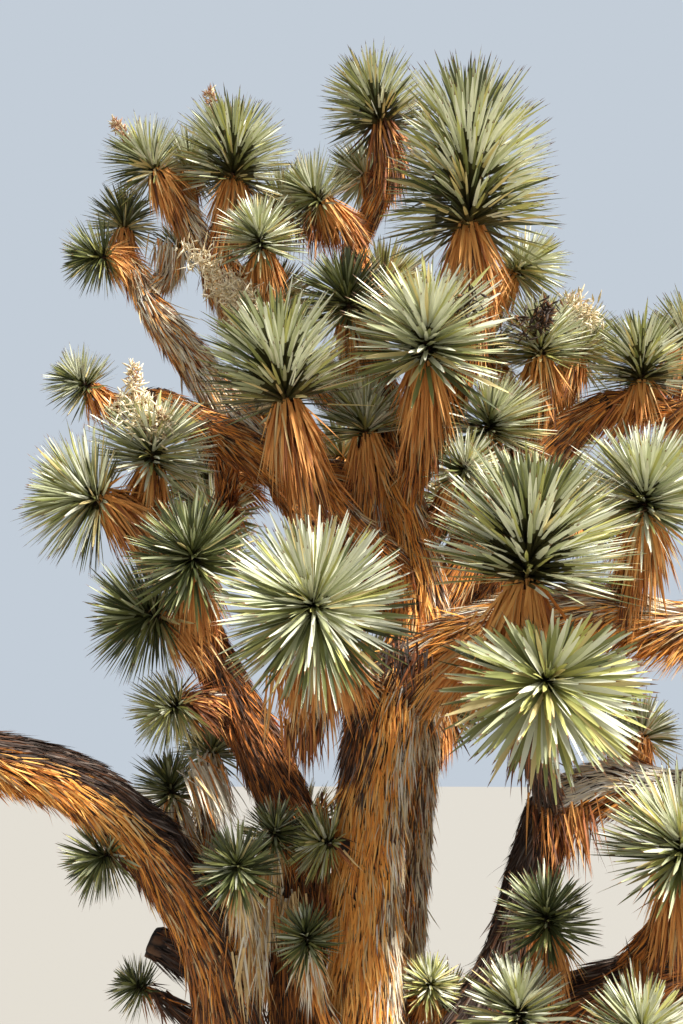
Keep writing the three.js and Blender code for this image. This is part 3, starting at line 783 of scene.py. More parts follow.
stub_line = limb_line([(-330, -110, 1080, 36), (-415, -95, 1118, 40), (-492, -88, 1146, 42)])
for name, line in limb_lines.items():
    if name != "trunk":
        tubes = [bark_tube(line, *LIMB_TUBE)]
        if name == "left_limb":
            tubes.append(bark_tube(stub_line, *STUB_TUBE))
        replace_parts(bark_piece(name + "_bark", tubes, limb_bark), name)
stems = [bark_tube(h["line"], *BRANCHLET_TUBE) for h in heads]
bark_piece("branchlet_stems", stems, limb_bark)
print("bark on a trunk,", len(limb_lines) - 1, "limbs and", len(stems), "branchlets")

# %% [markdown]
# ## One blade, many times
#
# A leaf is a stiff blade with a keel, two flat halves in a shallow V. The fold matters more than any
# texture: one half catches the sun while the other stays in shade. A blade therefore has three
# points across, at a few stations, and one at its tip, and is worked out for thousands at once.


# %% Blades
UV_SHIFT = 40


def blades(root, way, face, length, width, droop, stations, breadths, fold):
    """Folded blades, one for each row, as points (n, 3 · stations + 1, 3) with the tip last.

    At a share t of its length the keel is root + way · length · t - up · droop · length · t². The edges
    stand off it by half of the width times the breadth there, turned up towards the face by the fold.
    """
    t = np.array(stations)[None, :, None]
    reach = length[:, None, None]
    keel = root[:, None] + reach * (way[:, None] * t - UP * droop[:, None, None] * t * t)
    half = width[:, None, None] / 2 * np.array(breadths)[None, :, None]
    out = np.cross(way, face)[:, None] * half * math.cos(fold)
    rise = face[:, None] * half * math.sin(fold)
    tip = root + length[:, None] * (way - UP * droop[:, None])
    rows = np.stack([keel - out + rise, keel, keel + out + rise], axis=2)
    return np.concatenate([rows.reshape(len(root), -1, 3), tip[:, None]], axis=1)


def blade_triangles(stations):
    """The triangles of one blade, from its root to its tip, all facing the way its face does."""
    triangles = []
    for row in range(0, 3 * (stations - 1), 3):
        for left in (row, row + 1):
            triangles += [(left, left + 1, left + 4), (left, left + 4, left + 3)]
    last = 3 * (stations - 1)
    triangles += [(last, last + 1, last + 3), (last + 1, last + 2, last + 3)]
    return np.array(triangles)


def blade_arrays(points, stations, tints, base_tint=None, tip_tint=None):
    """Points, triangles, material numbers and UVs of many blades, with another tint at base and tip."""
    count, each = points.shape[:2]
    pattern = blade_triangles(len(stations))
    triangles = (np.arange(count)[:, None, None] * each + pattern).reshape(-1, 3)
    which = np.repeat(tints[:, None], len(pattern), axis=1)
    if base_tint is not None:
        which[:, :4] = base_tint
        which[:, -2:] = tip_tint
    u = np.append(np.tile([0, 0.5, 1], len(stations)), 0.5)
    v = np.append(np.repeat(stations, 3), 1.0)
    uv = np.stack([u, v], axis=1)[None] + rng.uniform(0, UV_SHIFT, (count, 1, 2))
    return points.reshape(-1, 3), triangles, which.ravel(), uv.reshape(-1, 2)


# %% How blades stand, and the crown's three parts
PARTS = ("left", "centre", "right")
PART_EDGES = (-0.2, 0.4)
SLANT = np.array([0.3, 0.4, 1.0])


def rolled(way, other, spread):
    """Directions square to each way: the part of another one that is so, rolled round the way at random."""
    face = across(way, other)
    return leant(face, np.cross(way, face), rng.normal(0, spread, len(way)))


def spun(aims, turn):
    """A way square to each aim, by its turn from the side where the slant points."""
    side = across(aims, SLANT)
    return leant(side, np.cross(aims, side), turn)


def part_of_crown(x):
    """Which of the crown's parts, from left to right, a place lies in."""
    return PARTS[sum(x > edge for edge in PART_EDGES)]


def crown_pieces(kind, arrays, materials):
    """A piece of a kind for each part of the crown, out of the arrays that lie there."""
    pieces = {}
    for part in PARTS:
        points, triangles, which, uv = joined(arrays[part])
        pieces[part] = new_piece(f"{part}_{kind}", points, triangles, materials, which, uv)
        print(f"{part} {kind}:", len(triangles), "faces")
    return pieces


part_of_mass = {name: part_of_crown(mass[0]["at"][0]) for name, mass in MASSES.items()}

# %% [markdown]
# ## Heads of living leaves
#
# New leaves rise from the middle of a head and older ones lean further out, until they point back
# past the stem. The golden angle spreads them with no two in a row. Each head keeps to its own space:
# a leaf that would cross far into another head ends where the two spaces meet, and one that would
# run into a limb isn't grown.

# %% How the leaves of one head stand
YOUNGEST_LEAF = math.radians(3)
OLDEST_LEAF = math.radians(101)
OLDEST_UPRIGHT_LEAF = math.radians(86)
GROWN_LEAF = math.radians(46)
FADING_LEAF = math.radians(78)
LEAVES_PER_METRE = 1650
LEAVES_PER_COLUMN_METRE = 1300
COLUMN_REACH = 0.4
OVERLAP = 28 * MM
# A leaf's dark base runs to the second station and is painted shade. On a long column it reaches further.
LEAF_STATIONS = (0, 0.16, 0.68, 0.93)
LONG_COLUMN = 90 * MM
LONG_COLUMN_STATIONS = (0, 0.4, 0.72, 0.93)
LEAF_BREADTHS = (1.05, 0.95, 0.9, 0.28)
LEAF_FOLD = math.radians(21)
LEAF_SCATTER = 0.12
LEAF_ROLL = 0.45
BROAD_LEAF = 1.35
FAR = 9.0
CHECKED_SHARES = (0.45, 0.75, 1.0)
CLEARANCE = 0.85
limb_middles = np.concatenate([line["middle"][::3] for line in limb_lines.values()])
limb_girths = np.concatenate([line["girth"][::3] for line in limb_lines.values()])
centres = np.array([column_point(h, np.array(0.5)) for h in heads])
reaches = np.array([h["leaf"] + COLUMN_REACH * h["column"] for h in heads])


def room(number, root, way):
    """How far each leaf of a head can go before it is deep in another head's space.

    Two heads meet on the plane where the distance to each centre squared, less its reach squared,
    is the same for both. A leaf may pass that plane by the overlap.
    """
    farthest = np.full(len(root), FAR)
    for other in range(len(heads)):
        between = centres[other] - centres[number]
        apart = np.linalg.norm(between)
        if other == number or apart > reaches[other] + reaches[number]:
            continue
        own = np.sum((root - centres[number]) ** 2, axis=1) - reaches[number] ** 2
        others = np.sum((root - centres[other]) ** 2, axis=1) - reaches[other] ** 2
        closing = 2 * way @ between
        distance = (others - own + 2 * OVERLAP * apart) / np.maximum(closing, 1e-6)
        farthest = np.where(closing > 0, np.minimum(farthest, distance), farthest)
    return farthest


def clear_of_limbs(root, way, length):
    """Whether each leaf stays out of the limbs, tried at three places along it."""
    clear = np.ones(len(root), bool)
    for share in CHECKED_SHARES:
        point = root + way * (length * share)[:, None]
        distance = np.linalg.norm(point[:, None] - limb_middles[None], axis=2)
        clear &= np.all(distance > limb_girths * CLEARANCE, axis=1)
    return clear


# %% Grow the leaves of every head
# The shares of pale sage, sage, olive, deep green, yellow green and straw.
WEIGHTS = {
    # Lighter colours for leaves that face the sun: painted sunlight.
    "bleached": (0.54, 0.24, 0.04, 0.0, 0.14, 0.04),
    "sunlit": (0.22, 0.3, 0.24, 0.11, 0.09, 0.04),
    # Lighter colours on heads that stand in the sun are painted sunlight. Darker ones on heads in half shade
    # and in full shade are painted shade.
    "pale": (0.45, 0.3, 0.1, 0.02, 0.09, 0.04),
    "dusky": (0.12, 0.22, 0.34, 0.24, 0.05, 0.03),
    "shaded": (0.04, 0.17, 0.33, 0.42, 0.03, 0.01),
    # Yellower colours, which on the low heads at the back also paint sunlight.
    "yellow": (0.24, 0.2, 0.16, 0.04, 0.3, 0.06),
}
TO_SUN = unit(np.array(SUN_COMES_FROM))
SUNNY_SIDE = 0.3
SUNNY_BLUR = 0.22
PAINTED_HALF_SHADE_SHARE = 0.85
FADING_SHARE = 0.4
FADING_TINTS = [LIVING["olive"], LIVING["deep_green"], LIVING["straw"]]


def drawn_tints(light, count):
    """A colour's number for each leaf, drawn by the weights for a light."""
    return rng.choice(len(WEIGHTS[light]), count, p=WEIGHTS[light])


def head_leaves(number, h, traits):
    """All the leaves of one head, as blade arrays, after the traits of its mass.

    Leaves that point to the sun take lighter colours, painted sunlight, unless the head is yellow or stands
    in shade. Broader leaves are fewer. On a long column the dark base of each leaf, painted shade, is longer,
    and most young leaves take darker colours, painted half shade.
    """
    light = next((trait for trait in traits if trait in WEIGHTS), "sunlit")
    oldest = OLDEST_UPRIGHT_LEAF if "upright" in traits else OLDEST_LEAF
    breadth = BROAD_LEAF if "broad" in traits else 1.0
    long_column = h["column"] > LONG_COLUMN
    count = int((LEAVES_PER_METRE * h["leaf"] + LEAVES_PER_COLUMN_METRE * h["column"]) / breadth)
    share = (np.arange(count) + 0.5) / count
    spread = math.cos(oldest) + (math.cos(YOUNGEST_LEAF) - math.cos(oldest)) * share
    lean = np.maximum(np.arccos(spread) + rng.normal(0, LEAF_SCATTER, count), 0.02)
    turn = np.arange(count) * GOLDEN_ANGLE + rng.normal(0, LEAF_SCATTER, count)
    aim = np.tile(h["aim"], (count, 1))
    way = leant(aim, spun(aim, turn), lean)
    root = column_point(h, share) + way * (0.05 * h["leaf"])
    youth = np.clip(lean / GROWN_LEAF, 0, 1)
    grown = 0.4 + 0.55 * youth**0.8
    length = h["leaf"] * grown * rng.uniform(0.84, 1.08, count)
    length = np.minimum(length, room(number, root, way))
    kept = (length > 0.3 * h["leaf"] * grown) & clear_of_limbs(root, way, length)
    face = rolled(way, aim, LEAF_ROLL)
    width = (3.5 * MM + 0.027 * h["leaf"]) * breadth * (0.7 + 0.3 * youth) * rng.uniform(0.8, 1.2, count)
    droop = rng.normal(0.02, 0.03, count)
    tints = drawn_tints(light, count)
    # Leaves that face the sun take the lighter colours: painted sunlight.
    sunny = way @ TO_SUN + rng.normal(0, SUNNY_BLUR, count) > SUNNY_SIDE
    sunny &= light in ("sunlit", "dusky", "pale")
    tints = np.where(sunny, drawn_tints("bleached", count), tints)
    # On a long column most young leaves get darker colours: painted shade in the middle of the head.
    dusky = long_column & (lean < GROWN_LEAF) & (rng.uniform(0, 1, count) < PAINTED_HALF_SHADE_SHARE)
    tints = np.where(dusky, drawn_tints("dusky", count), tints)
    fading = (lean > FADING_LEAF) & (rng.uniform(0, 1, count) < FADING_SHARE)
    tints = np.where(fading, rng.choice(FADING_TINTS, count), tints)
    stations = LONG_COLUMN_STATIONS if long_column else LEAF_STATIONS
    points = blades(root, way, face, length, width, droop, stations, LEAF_BREADTHS, LEAF_FOLD)
    return blade_arrays(points[kept], stations, tints[kept], SHADED_LEAF_BASE, SPINE_TIP)


crown_leaves = {part: [] for part in PARTS}
number = 0
for name, mass in MASSES.items():
    for h in mass:
        crown_leaves[part_of_mass[name]].append(head_leaves(number, h, traits_of(name)))
        number += 1
for part, piece in crown_pieces("leaves", crown_leaves, living_materials).items():
    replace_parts(piece, *[name for name in MASSES if part_of_mass[name] == part])

# %% [markdown]
# ## Skirts of dead leaves
#
# Under a head the leaves that died last hang down in an orange skirt. They are still whole, so they
# are the same blades, turned back along the stem and drawn down by their weight. Those nearest the
# living leaves still stand out, and the ones below lie closer, over each other like shingles. In some
# places they have come loose and hang from the boughs in curtains.

# %% Skirts
SKIRT_STATIONS = (0, 0.5)
SKIRT_BREADTHS = (1.0, 0.85)
SKIRT_FOLD = math.radians(24)
SKIRT_TOP = 0.17
SKIRT_REACH = 0.8
SKIRT_LEAVES_PER_METRE = 1700
DEAD_ROLL = 0.6
CURTAIN_ROLL = 0.8
CURTAIN_FACE = np.array([0.2, -1.0, 0.3])
LONG_SKIRT = 1.35
THIN_SKIRT = 0.35
STRAY_SHARE = 0.06
TAN_SHARE = 0.09
DEAD_RAMP = np.array([DEAD[name] for name in ("bright_orange", "rust", "rust", "red_brown", "dark_rust")])
OTHER_SKIRTS = {"white": "bleached bleached bleached tan bleached rust",
                "straw": "tan bleached tan bleached tan rust",
                "orange": "bright_orange rust bright_orange tan rust bright_orange",
                "russet": "red_brown dark_rust rust red_brown dark_rust bright_orange",
                # The last set, nearly black, is painted shadow.
                "sooty": "sooty dark_rust sooty sooty dark_rust red_brown"}
OTHER_SKIRTS = {name: [DEAD[tint] for tint in tints.split()] for name, tints in OTHER_SKIRTS.items()}
SKIRT_KINDS = {("left_crown_heads", 2): "white", ("grey_limb_heads", 0): "white",
               ("grey_limb_heads", 1): "white", ("low_left_heads", 0): "straw",
               ("low_left_heads", 1): "straw", ("stem_front_head", 0): "straw",
               ("inner_left_head", 0): "russet", ("crown_top_heads", 0): "russet"}


def skirt_leaves(h, thickness, kind):
    """The dead leaves under one head: roots spread down the stem, ways turned back and pulled down.

    A leaf on the underside of a slanting stem hangs freely, and the more level the stem, the more it
    hangs. One on its upper side lies on it. A thin skirt is all old leaves, and a bleached one is long.
    """
    count = int(SKIRT_LEAVES_PER_METRE * thickness * h["leaf"])
    below = np.sort(rng.uniform(0, 1, count)) ** 1.3
    where = h["neck"] + SKIRT_TOP * h["leaf"] - below * min(SKIRT_REACH * h["leaf"], 0.9 * h["neck"])
    here = at_length(h["line"], where)
    turn = np.arange(count) * GOLDEN_ANGLE + rng.normal(0, 0.2, count)
    out = leant(here["side"], here["across"], turn)
    lean = np.radians(3 + 26 * (1 - below) ** 5) + np.abs(rng.normal(0, 0.11, count))
    stray = rng.uniform(0, 1, count) < STRAY_SHARE
    lean = np.where(stray, lean + rng.uniform(0.15, 0.6, count), lean)
    way = leant(-here["along"], out, lean)
    way = way + np.cross(here["along"], out) * rng.normal(0, 0.14, count)[:, None]
    free = 1 - 0.8 * np.clip(out[:, 2], 0, 1)
    level = 1 - np.abs(here["along"][:, 2])
    pull = rng.uniform(0.2, 0.9, count) * (0.4 + 0.6 * below) + 1.3 * level * rng.uniform(0.4, 1, count)
    way = unit(way - UP * (pull * free)[:, None])
    root = here["middle"] + out * (here["girth"] * rng.uniform(0.6, 0.95, count))[:, None]
    length = h["leaf"] * rng.uniform(0.5, 0.92, count) * (LONG_SKIRT if kind in ("white", "straw") else 1)
    face = rolled(way, out, DEAD_ROLL)
    width = (2.5 * MM + 0.026 * h["leaf"]) * rng.uniform(0.7, 1.3, count)
    droop = rng.normal(0.05, 0.05, count)
    age = np.clip(0.1 + 0.5 * below + (1 - thickness) + rng.normal(0, 0.3, count), 0, 0.999)
    tints = DEAD_RAMP[(age * len(DEAD_RAMP)).astype(int)]
    tints = np.where(rng.uniform(0, 1, count) < TAN_SHARE, DEAD["tan"], tints)
    if kind:
        tints = rng.choice(OTHER_SKIRTS[kind], count)
    kept = clear_of_limbs(root, way, length)
    points = blades(root, way, face, length, width, droop, SKIRT_STATIONS, SKIRT_BREADTHS, SKIRT_FOLD)
    return blade_arrays(points[kept], SKIRT_STATIONS, tints[kept])


def near(route, reach, count):
    """Places round a route that is given in millimetres, by a normal spread of the reach."""
    route = np.array(route, float) * MM
    place = rng.uniform(0, len(route) - 1, count)
    first = place.astype(int)
    on_route = route[first] + (route[first + 1] - route[first]) * (place - first)[:, None]
    return on_route + rng.normal(0, reach * MM, (count, 3))


def curtain(route, reach, count, longest, kind, hang=(0, 0, -1)):
    """Dead leaves that have come loose and hang from along a route, the longest one in millimetres."""
    root = near(route, reach, count)
    way = unit(np.array(hang, float) + rng.normal(0, 0.17, (count, 3)))
    face = rolled(way, CURTAIN_FACE, CURTAIN_ROLL)
    length = longest * MM * rng.uniform(0.5, 1, count)
    width = rng.uniform(4, 9, count) * MM
    droop = rng.normal(0.08, 0.05, count)
    points = blades(root, way, face, length, width, droop, SKIRT_STATIONS, SKIRT_BREADTHS, SKIRT_FOLD)
    return blade_arrays(points, SKIRT_STATIONS, rng.choice(OTHER_SKIRTS[kind], count))


# Each curtain's route, reach, count, longest leaf and colours, and where it doesn't hang straight its way.
CURTAINS = [
    ([(-147, -330, 1830), (-49, -330, 1830)], 22, 130, 190, "orange"),
    ([(-135, -300, 1705), (-55, -290, 1705)], 16, 110, 150, "russet"),
    ([(-75, -300, 1770), (-35, -290, 1770)], 12, 50, 130, "white"),
    ([(-50, -60, 1500), (-40, -60, 1350), (-26, -60, 1230)], 14, 130, 150, "russet"),
    ([(-138, 80, 3385), (12, 100, 3372)], 20, 130, 200, "russet"),
    ([(545, 50, 1490), (600, 40, 1470), (690, 30, 1490)], 18, 210, 190, "russet"),
    ([(-430, 20, 1590), (-340, 10, 1540)], 20, 130, 170, "white", (0.55, -0.2, -1)),
    ([(-277, -180, 1257), (-203, -150, 1241)], 20, 130, 150, "straw"),
    ([(-270, -190, 1151), (-215, -150, 1141)], 20, 150, 170, "straw"),
    ([(-201, -90, 1232), (-109, -90, 1244)], 16, 90, 120, "straw"),
    ([(-237, -20, 1223), (-215, -20, 1100), (-193, -20, 1015)], 14, 110, 140, "russet"),
    ([(-619, 150, 3274), (-538, 150, 3266)], 16, 90, 140, "white"),
    ([(425, -330, 1896), (330, -300, 1905)], 26, 90, 210, "orange", (-1, -0.2, -0.75)),
    ([(400, -330, 1800), (310, -290, 1850)], 26, 70, 200, "orange", (-0.8, -0.2, -1)),
    # A near-black curtain in the crotch above the main stem: painted shadow.
    ([(126, -205, 1890), (220, -225, 1870)], 18, 80, 110, "sooty", (-0.1, -0.1, -1)),
]
skirts = {part: [] for part in PARTS}
for name, mass in MASSES.items():
    thickness = THIN_SKIRT if "thin_skirt" in traits_of(name) else 1.0
    for place, h in enumerate(mass):
        skirts[part_of_mass[name]].append(skirt_leaves(h, thickness, SKIRT_KINDS.get((name, place))))
for row in CURTAINS:
    skirts[part_of_crown(row[0][0][0] * MM)].append(curtain(*row))
crown_pieces("skirts", skirts, dead_materials)

# %% [markdown]
# ## The thatch
#
# Years of dead leaves cover every limb like fur. Each blade lies back along its limb, towards the older wood.
# Where sun and rain reach it, it bleaches to sand and silver, and below it keeps its amber. So its colour is
# chosen from where it stands: the age of its limb, and how far up it faces. The lighter side mostly faces the
# sun, so it is partly painted sunlight, and on a few limbs a darker side or patch is partly painted shade.

# %% Strips of old leaf
STRIP_BEND = 0.55
BEND_BREADTH = 0.9


def strips(root, way, face, length, width, curl):
    """Worn strips of leaf, one for each row, as points (n, 5, 3): two at the root, two at the bend, a tip.

    They run along their way to the bend, then rise towards their face by the curl's share of the rest.
    """
    side = np.cross(way, face) * width[:, None] / 2
    bend = root + way * (STRIP_BEND * length)[:, None]
    tip = bend + (way + face * curl[:, None]) * ((1 - STRIP_BEND) * length)[:, None]
    narrow = side * BEND_BREADTH
    return np.stack([root - side, root + side, bend - narrow, bend + narrow, tip], axis=1)


STRIP_TRIANGLES = np.array([(0, 1, 3), (0, 3, 2), (2, 3, 4)])
STRIP_UV = np.array([(0, 0), (1, 0), (0, STRIP_BEND), (1, STRIP_BEND), (0.5, 1)])


def strip_arrays(points, tints):
    """Points, triangles, material numbers and UVs of many strips."""
    count = len(points)
    triangles = (np.arange(count)[:, None, None] * 5 + STRIP_TRIANGLES).reshape(-1, 3)
    uv = STRIP_UV + rng.uniform(0, UV_SHIFT, (count, 1, 2))
    return points.reshape(-1, 3), triangles, np.repeat(tints, 3), uv.reshape(-1, 2)


# %% How the thatch of each limb looks
PALETTES = {
    "golden": "gold amber gold amber gold amber gold rust amber sand",
    "amber": "gold amber gold amber rust brown gold amber sand dark_brown",
    "rust": "rust rust amber brown brown dark_brown umber rust amber sand",
    "russet": "brown rust brown dark_brown rust umber brown rust umber dark_brown",
    "tan": "sand sand amber amber brown rust dark_brown bleached sand brown",
    "mixed": "brown sand rust brown sand rust bleached brown bleached umber",
    "old": "dark_brown umber brown umber dark_brown charcoal rust brown umber grey_brown",
    "black": "umber umber charcoal dark_brown umber charcoal umber umber dark_brown grey_brown",
    "charcoal": "charcoal grey_brown umber charcoal dark_brown umber silver charcoal brown grey_brown",
    "bleached": "bleached sand bleached silver bleached amber brown sand bleached dark_brown",
    "silver": "silver bleached silver bleached silver bleached charcoal silver bleached sand",
}
PALETTES = {name: np.array([THATCH[tint] for tint in tints.split()]) for name, tints in PALETTES.items()}


def thatch_look(main, other="bleached", towards=(0, 0, 1), edge=0.8, patch=None, length=(0.05, 0.1), shag=1):
    """A limb's palette, another one for the side that faces some way, and perhaps a darker patch of old
    leaves, which on the two stems is also painted shade.

    The edge is the cosine at which that side starts. A patch runs from one length to another along the
    limb, on the side that faces some way. Then come the strips' shortest and longest, and their shag.
    """
    return {"main": PALETTES[main], "other": PALETTES[other], "towards": unit(np.array(towards, float)),
            "edge": edge, "patch": patch, "length": length, "shag": shag}


THATCH_LOOKS = {
    "trunk": thatch_look("tan", "mixed", (1, -1, 0), 0.5, length=(0.06, 0.13), shag=0.8),
    # The main stem's lighter side faces the sun and is partly painted sunlight. Its darker patch on the other
    # side is old leaves and painted shade.
    "main_stem": thatch_look("golden", "bleached", (1, -0.35, 0), 0.72, (1.04, 1.32, (-1, -0.15, 0))),
    # The rear stem's darker patch is old leaves and painted shade. Its lighter edge towards the sun is partly
    # painted sunlight.
    "rear_stem": thatch_look("tan", "bleached", (1, -0.5, 0), 0.7, (0.3, 1.5, (1, -0.2, 0))),
    "left_limb": thatch_look("rust", "old", (0.7, -0.05, 0.7), 0.4),
    "left_arm": thatch_look("amber", "black", (0, 0, 1), 0.22),
    "inner_left_limb": thatch_look("russet", "old", (0.5, -0.3, 1), 0.8),
    "left_bough": thatch_look("russet"),
    # The right limb's dark thatch is old leaves and partly painted shade. Its lighter side towards the sun is
    # painted sunlight.
    "right_limb": thatch_look("black", "russet", (1, -0.2, 0), 0.25, shag=0.8),
    # The silver top of the right arm is bleached leaves, lightened further as painted sunlight.
    "right_arm": thatch_look("rust", "silver", (0, -0.4, 1), 0.1, shag=1.1),
    "low_right_limb": thatch_look("russet", "black", (0, 0, 1), 0.3),
    "centre_bough": thatch_look("amber", "bleached", (1, -0.3, 0), 0.8, (0.3, 0.6, (1, 0.3, 0))),
    "crown_bough": thatch_look("rust", "bleached", (1, 0, 0), 0.85),
    "high_bough": thatch_look("rust"),
    "top_left_bough": thatch_look("tan", "bleached", (0, -0.6, 0.5), 0.3, length=(0.06, 0.12), shag=1.2),
    "left_middle_bough": thatch_look("rust", "charcoal", (0, 0, 1), 0.75),
    "left_crown_bough": thatch_look("tan", "bleached", (0.4, -0.6, 0.3), -0.1, length=(0.06, 0.12), shag=1.2),
    "right_bough": thatch_look("amber", "bleached", (0.3, -0.5, 0.8), 0.5, (-0.05, 0.13, (-0.3, -1, 0.3)),
                               length=(0.08, 0.16), shag=1.3),
    "upper_right_bough": thatch_look("rust", "bleached", (0.5, 0, 0.8), 0.85),
    "back_left_bough": thatch_look("rust"),
    "back_right_bough": thatch_look("rust"),
}
BRANCHLET_LOOKS = {
    "usual": thatch_look("rust", "bleached", (1, -0.4, 0.6), 0.9, length=(0.06, 0.11), shag=0.8),
    "pale_stem": thatch_look("tan", "bleached", (0.4, -0.6, 0.5), 0.2, length=(0.07, 0.13), shag=1.1),
    "dark_stem": thatch_look("black", "old", (1, -0.4, 0.6), 0.6, length=(0.06, 0.11), shag=0.8),
}
PATCH_END_BLUR = 0.12
PATCH_SIDE_BLUR = 0.2
PATCH_SIDE = 0.35
SIDE_BLUR = 0.16


def thatch_tints(look, where, out):
    """A colour for each strip, drawn from the palette of the side or patch that it stands on."""
    count = len(out)
    draw = rng.integers(0, len(look["main"]), count)
    tints = look["main"][draw]
    if look["patch"]:
        first, last, towards = look["patch"]
        along = (where - first) / (last - first) + rng.normal(0, PATCH_END_BLUR, count)
        facing = out @ unit(np.array(towards, float)) + rng.normal(0, PATCH_SIDE_BLUR, count)
        in_patch = (along > 0) & (along < 1) & (facing > PATCH_SIDE)
        tints = np.where(in_patch, PALETTES["old"][draw], tints)
    facing = out @ look["towards"] + rng.normal(0, SIDE_BLUR, count)
    return np.where(facing > look["edge"], look["other"][draw], tints)


# %% Where the strips stand
LIMB_HEART = 0.78
STRAY_STRIPS = 0.025
SLACK = 0.03


def in_another_limb(name, root):
    """Which roots lie inside a limb other than the named one."""
    inside = np.zeros(len(root), bool)
    for other, line in limb_lines.items():
        if other != name:
            distance = np.linalg.norm(root[:, None] - line["middle"][None, ::3], axis=2)
            inside |= np.any(distance < line["girth"][::3] * LIMB_HEART, axis=1)
    return inside


def thatch_on(name, line, look, density, low, high, share):
    """The thatch between two lengths along a line, rooted near a share of its girth.

    A strip lies back along the line, leaning out by a few degrees, and is no longer than what lies
    behind it. Tufts, waves along and round the limb, turn and lift their strips together. On a level
    limb its weight draws it down on the underside and presses it flat on top.
    """
    mean_girth = np.interp((low + high) / 2, line["length"], line["girth"])
    count = int(density * (high - low) * 2 * math.pi * mean_girth)
    where = rng.uniform(low, high, count)
    turn = rng.uniform(0, 2 * np.pi, count)
    here = at_length(line, where)
    out = leant(here["side"], here["across"], turn)
    tuft = np.sin(where * 46 + 2.4 * np.sin(turn * 3 + where * 13)) * np.sin(turn * 2 + where * 21)
    level = 1 - np.abs(here["along"][:, 2])
    upper = np.clip(out[:, 2], 0, 1) * level
    lean = look["shag"] * (np.radians(3.5 + 3.5 * tuft) + np.abs(rng.normal(0, 0.08, count)))
    stray = (rng.uniform(0, 1, count) < STRAY_STRIPS * look["shag"]) & (upper < 0.3)
    lean = np.where(stray, rng.uniform(0.25, 0.7, count), lean * (1 - 0.6 * upper))
    way = leant(-here["along"], out, lean)
    swirl = 0.12 * np.sin(where * 31 + turn * 3) + rng.normal(0, 0.1, count)
    way = unit(way + np.cross(here["along"], out) * swirl[:, None])
    underside = np.clip(0.3 - out[:, 2], 0, 1) * level
    way = unit(way - UP * (0.9 * look["shag"] * underside * rng.uniform(0.2, 1, count))[:, None])
    root = here["middle"] + out * (here["girth"] * share * rng.uniform(0.9, 1.05, count))[:, None]
    length = np.minimum(rng.uniform(*look["length"], count), where + SLACK)
    face = rolled(way, out, DEAD_ROLL)
    width = rng.uniform(2.5, 6, count) * MM
    curl = rng.normal(0.0, 0.1, count)
    tints = thatch_tints(look, where, out)
    kept = ~in_another_limb(name, root)
    points = strips(root, way, face, length, width, curl)
    return strip_arrays(points[kept], tints[kept])


# %% Lay the thatch on limbs and branchlets
# Strips for each square metre, and on the trunk each layer's lowest length and share of the girth.
STRIPS_ON_LIMBS = 12400
TRUNK_LAYERS = [(4000, 0.34, 0.98), (4000, 0.28, 0.98), (2600, 0.21, 0.98), (900, 0.12, 0.98)]
STRIPS_ON_BRANCHLETS = 8500
BRANCHLET_THATCH = 0.7
STUB_THATCH = (0.05, 0.17, 0.95)

thatch = {part: [] for part in PARTS}
for name, line in limb_lines.items():
    middle = line["middle"][len(line["middle"]) // 2, 0]
    top = line["length"][-1]
    layers = TRUNK_LAYERS if name == "trunk" else [(STRIPS_ON_LIMBS, 0.0, LIMB_CORE)]
    for density, low, share in layers:
        strips_here = thatch_on(name, line, THATCH_LOOKS[name], density, low, top, share)
        thatch[part_of_crown(middle)].append(strips_here)
for name, mass in MASSES.items():
    kind = next((trait for trait in traits_of(name) if trait in BRANCHLET_LOOKS), "usual")
    for h in mass:
        top = max(h["neck"] - 0.3 * h["leaf"], 0.3 * h["neck"])
        strips_here = thatch_on(mass[0]["on"], h["line"], BRANCHLET_LOOKS[kind], STRIPS_ON_BRANCHLETS, 0.0,
                                top, BRANCHLET_THATCH)
        thatch[part_of_crown(h["at"][0])].append(strips_here)
thatch["left"].append(thatch_on("left_limb", stub_line, BRANCHLET_LOOKS["dark_stem"], STRIPS_ON_BRANCHLETS,
                                *STUB_THATCH))
crown_pieces("thatch", thatch, thatch_materials)

# %% [markdown]
# ## Dry flower stalks
#
# A few heads have flowered. What is left is a stiff stalk with short side branches, which carry thin
# papery pods and bracts, cream to pink-brown. Some older ones have sunk onto the boughs, bleached
# or dark. Branches and bracts are three-sided spindles.

# %% Flower stalks
flower_materials, FLOWER = tinted("flower", {
    "stalk_brown": "#9B6F4A", "pink_brown": "#C09274", "cream": "#FFF2D4", "papery": "#DDC79C",
    "pod_brown": "#3A2A20"}, 0.6, 0.85, 0.5)
STALK_PROFILE = [(0, 1), (0.5, 0.8), (1, 0.3)]
BRACT_PROFILE = [(0, 0.4), (0.4, 1), (1, 0.15)]
STALK_SIDES = 6
STALK_RADIUS = 0.005
BRANCHES = 30
BRANCH_RADIUS = 0.002
FLOWERED_FROM = 0.4
FLOWERED_PART = 0.58
BRACTS_PER_BRANCH = 7
BRACT_LENGTHS = (0.014, 0.028)
BRACT_RADII = (0.0025, 0.0045)
CURL_LENGTHS = (0.016, 0.046)
CURL_RADII = (0.002, 0.005)
FRESH = ("cream", "papery", "cream", "pink_brown")
CREAM = ("cream", "cream", "papery")
PINK = ("pink_brown", "papery", "pink_brown", "cream")
OLD_PODS = ("pod_brown", "stalk_brown", "pod_brown", "pod_brown")


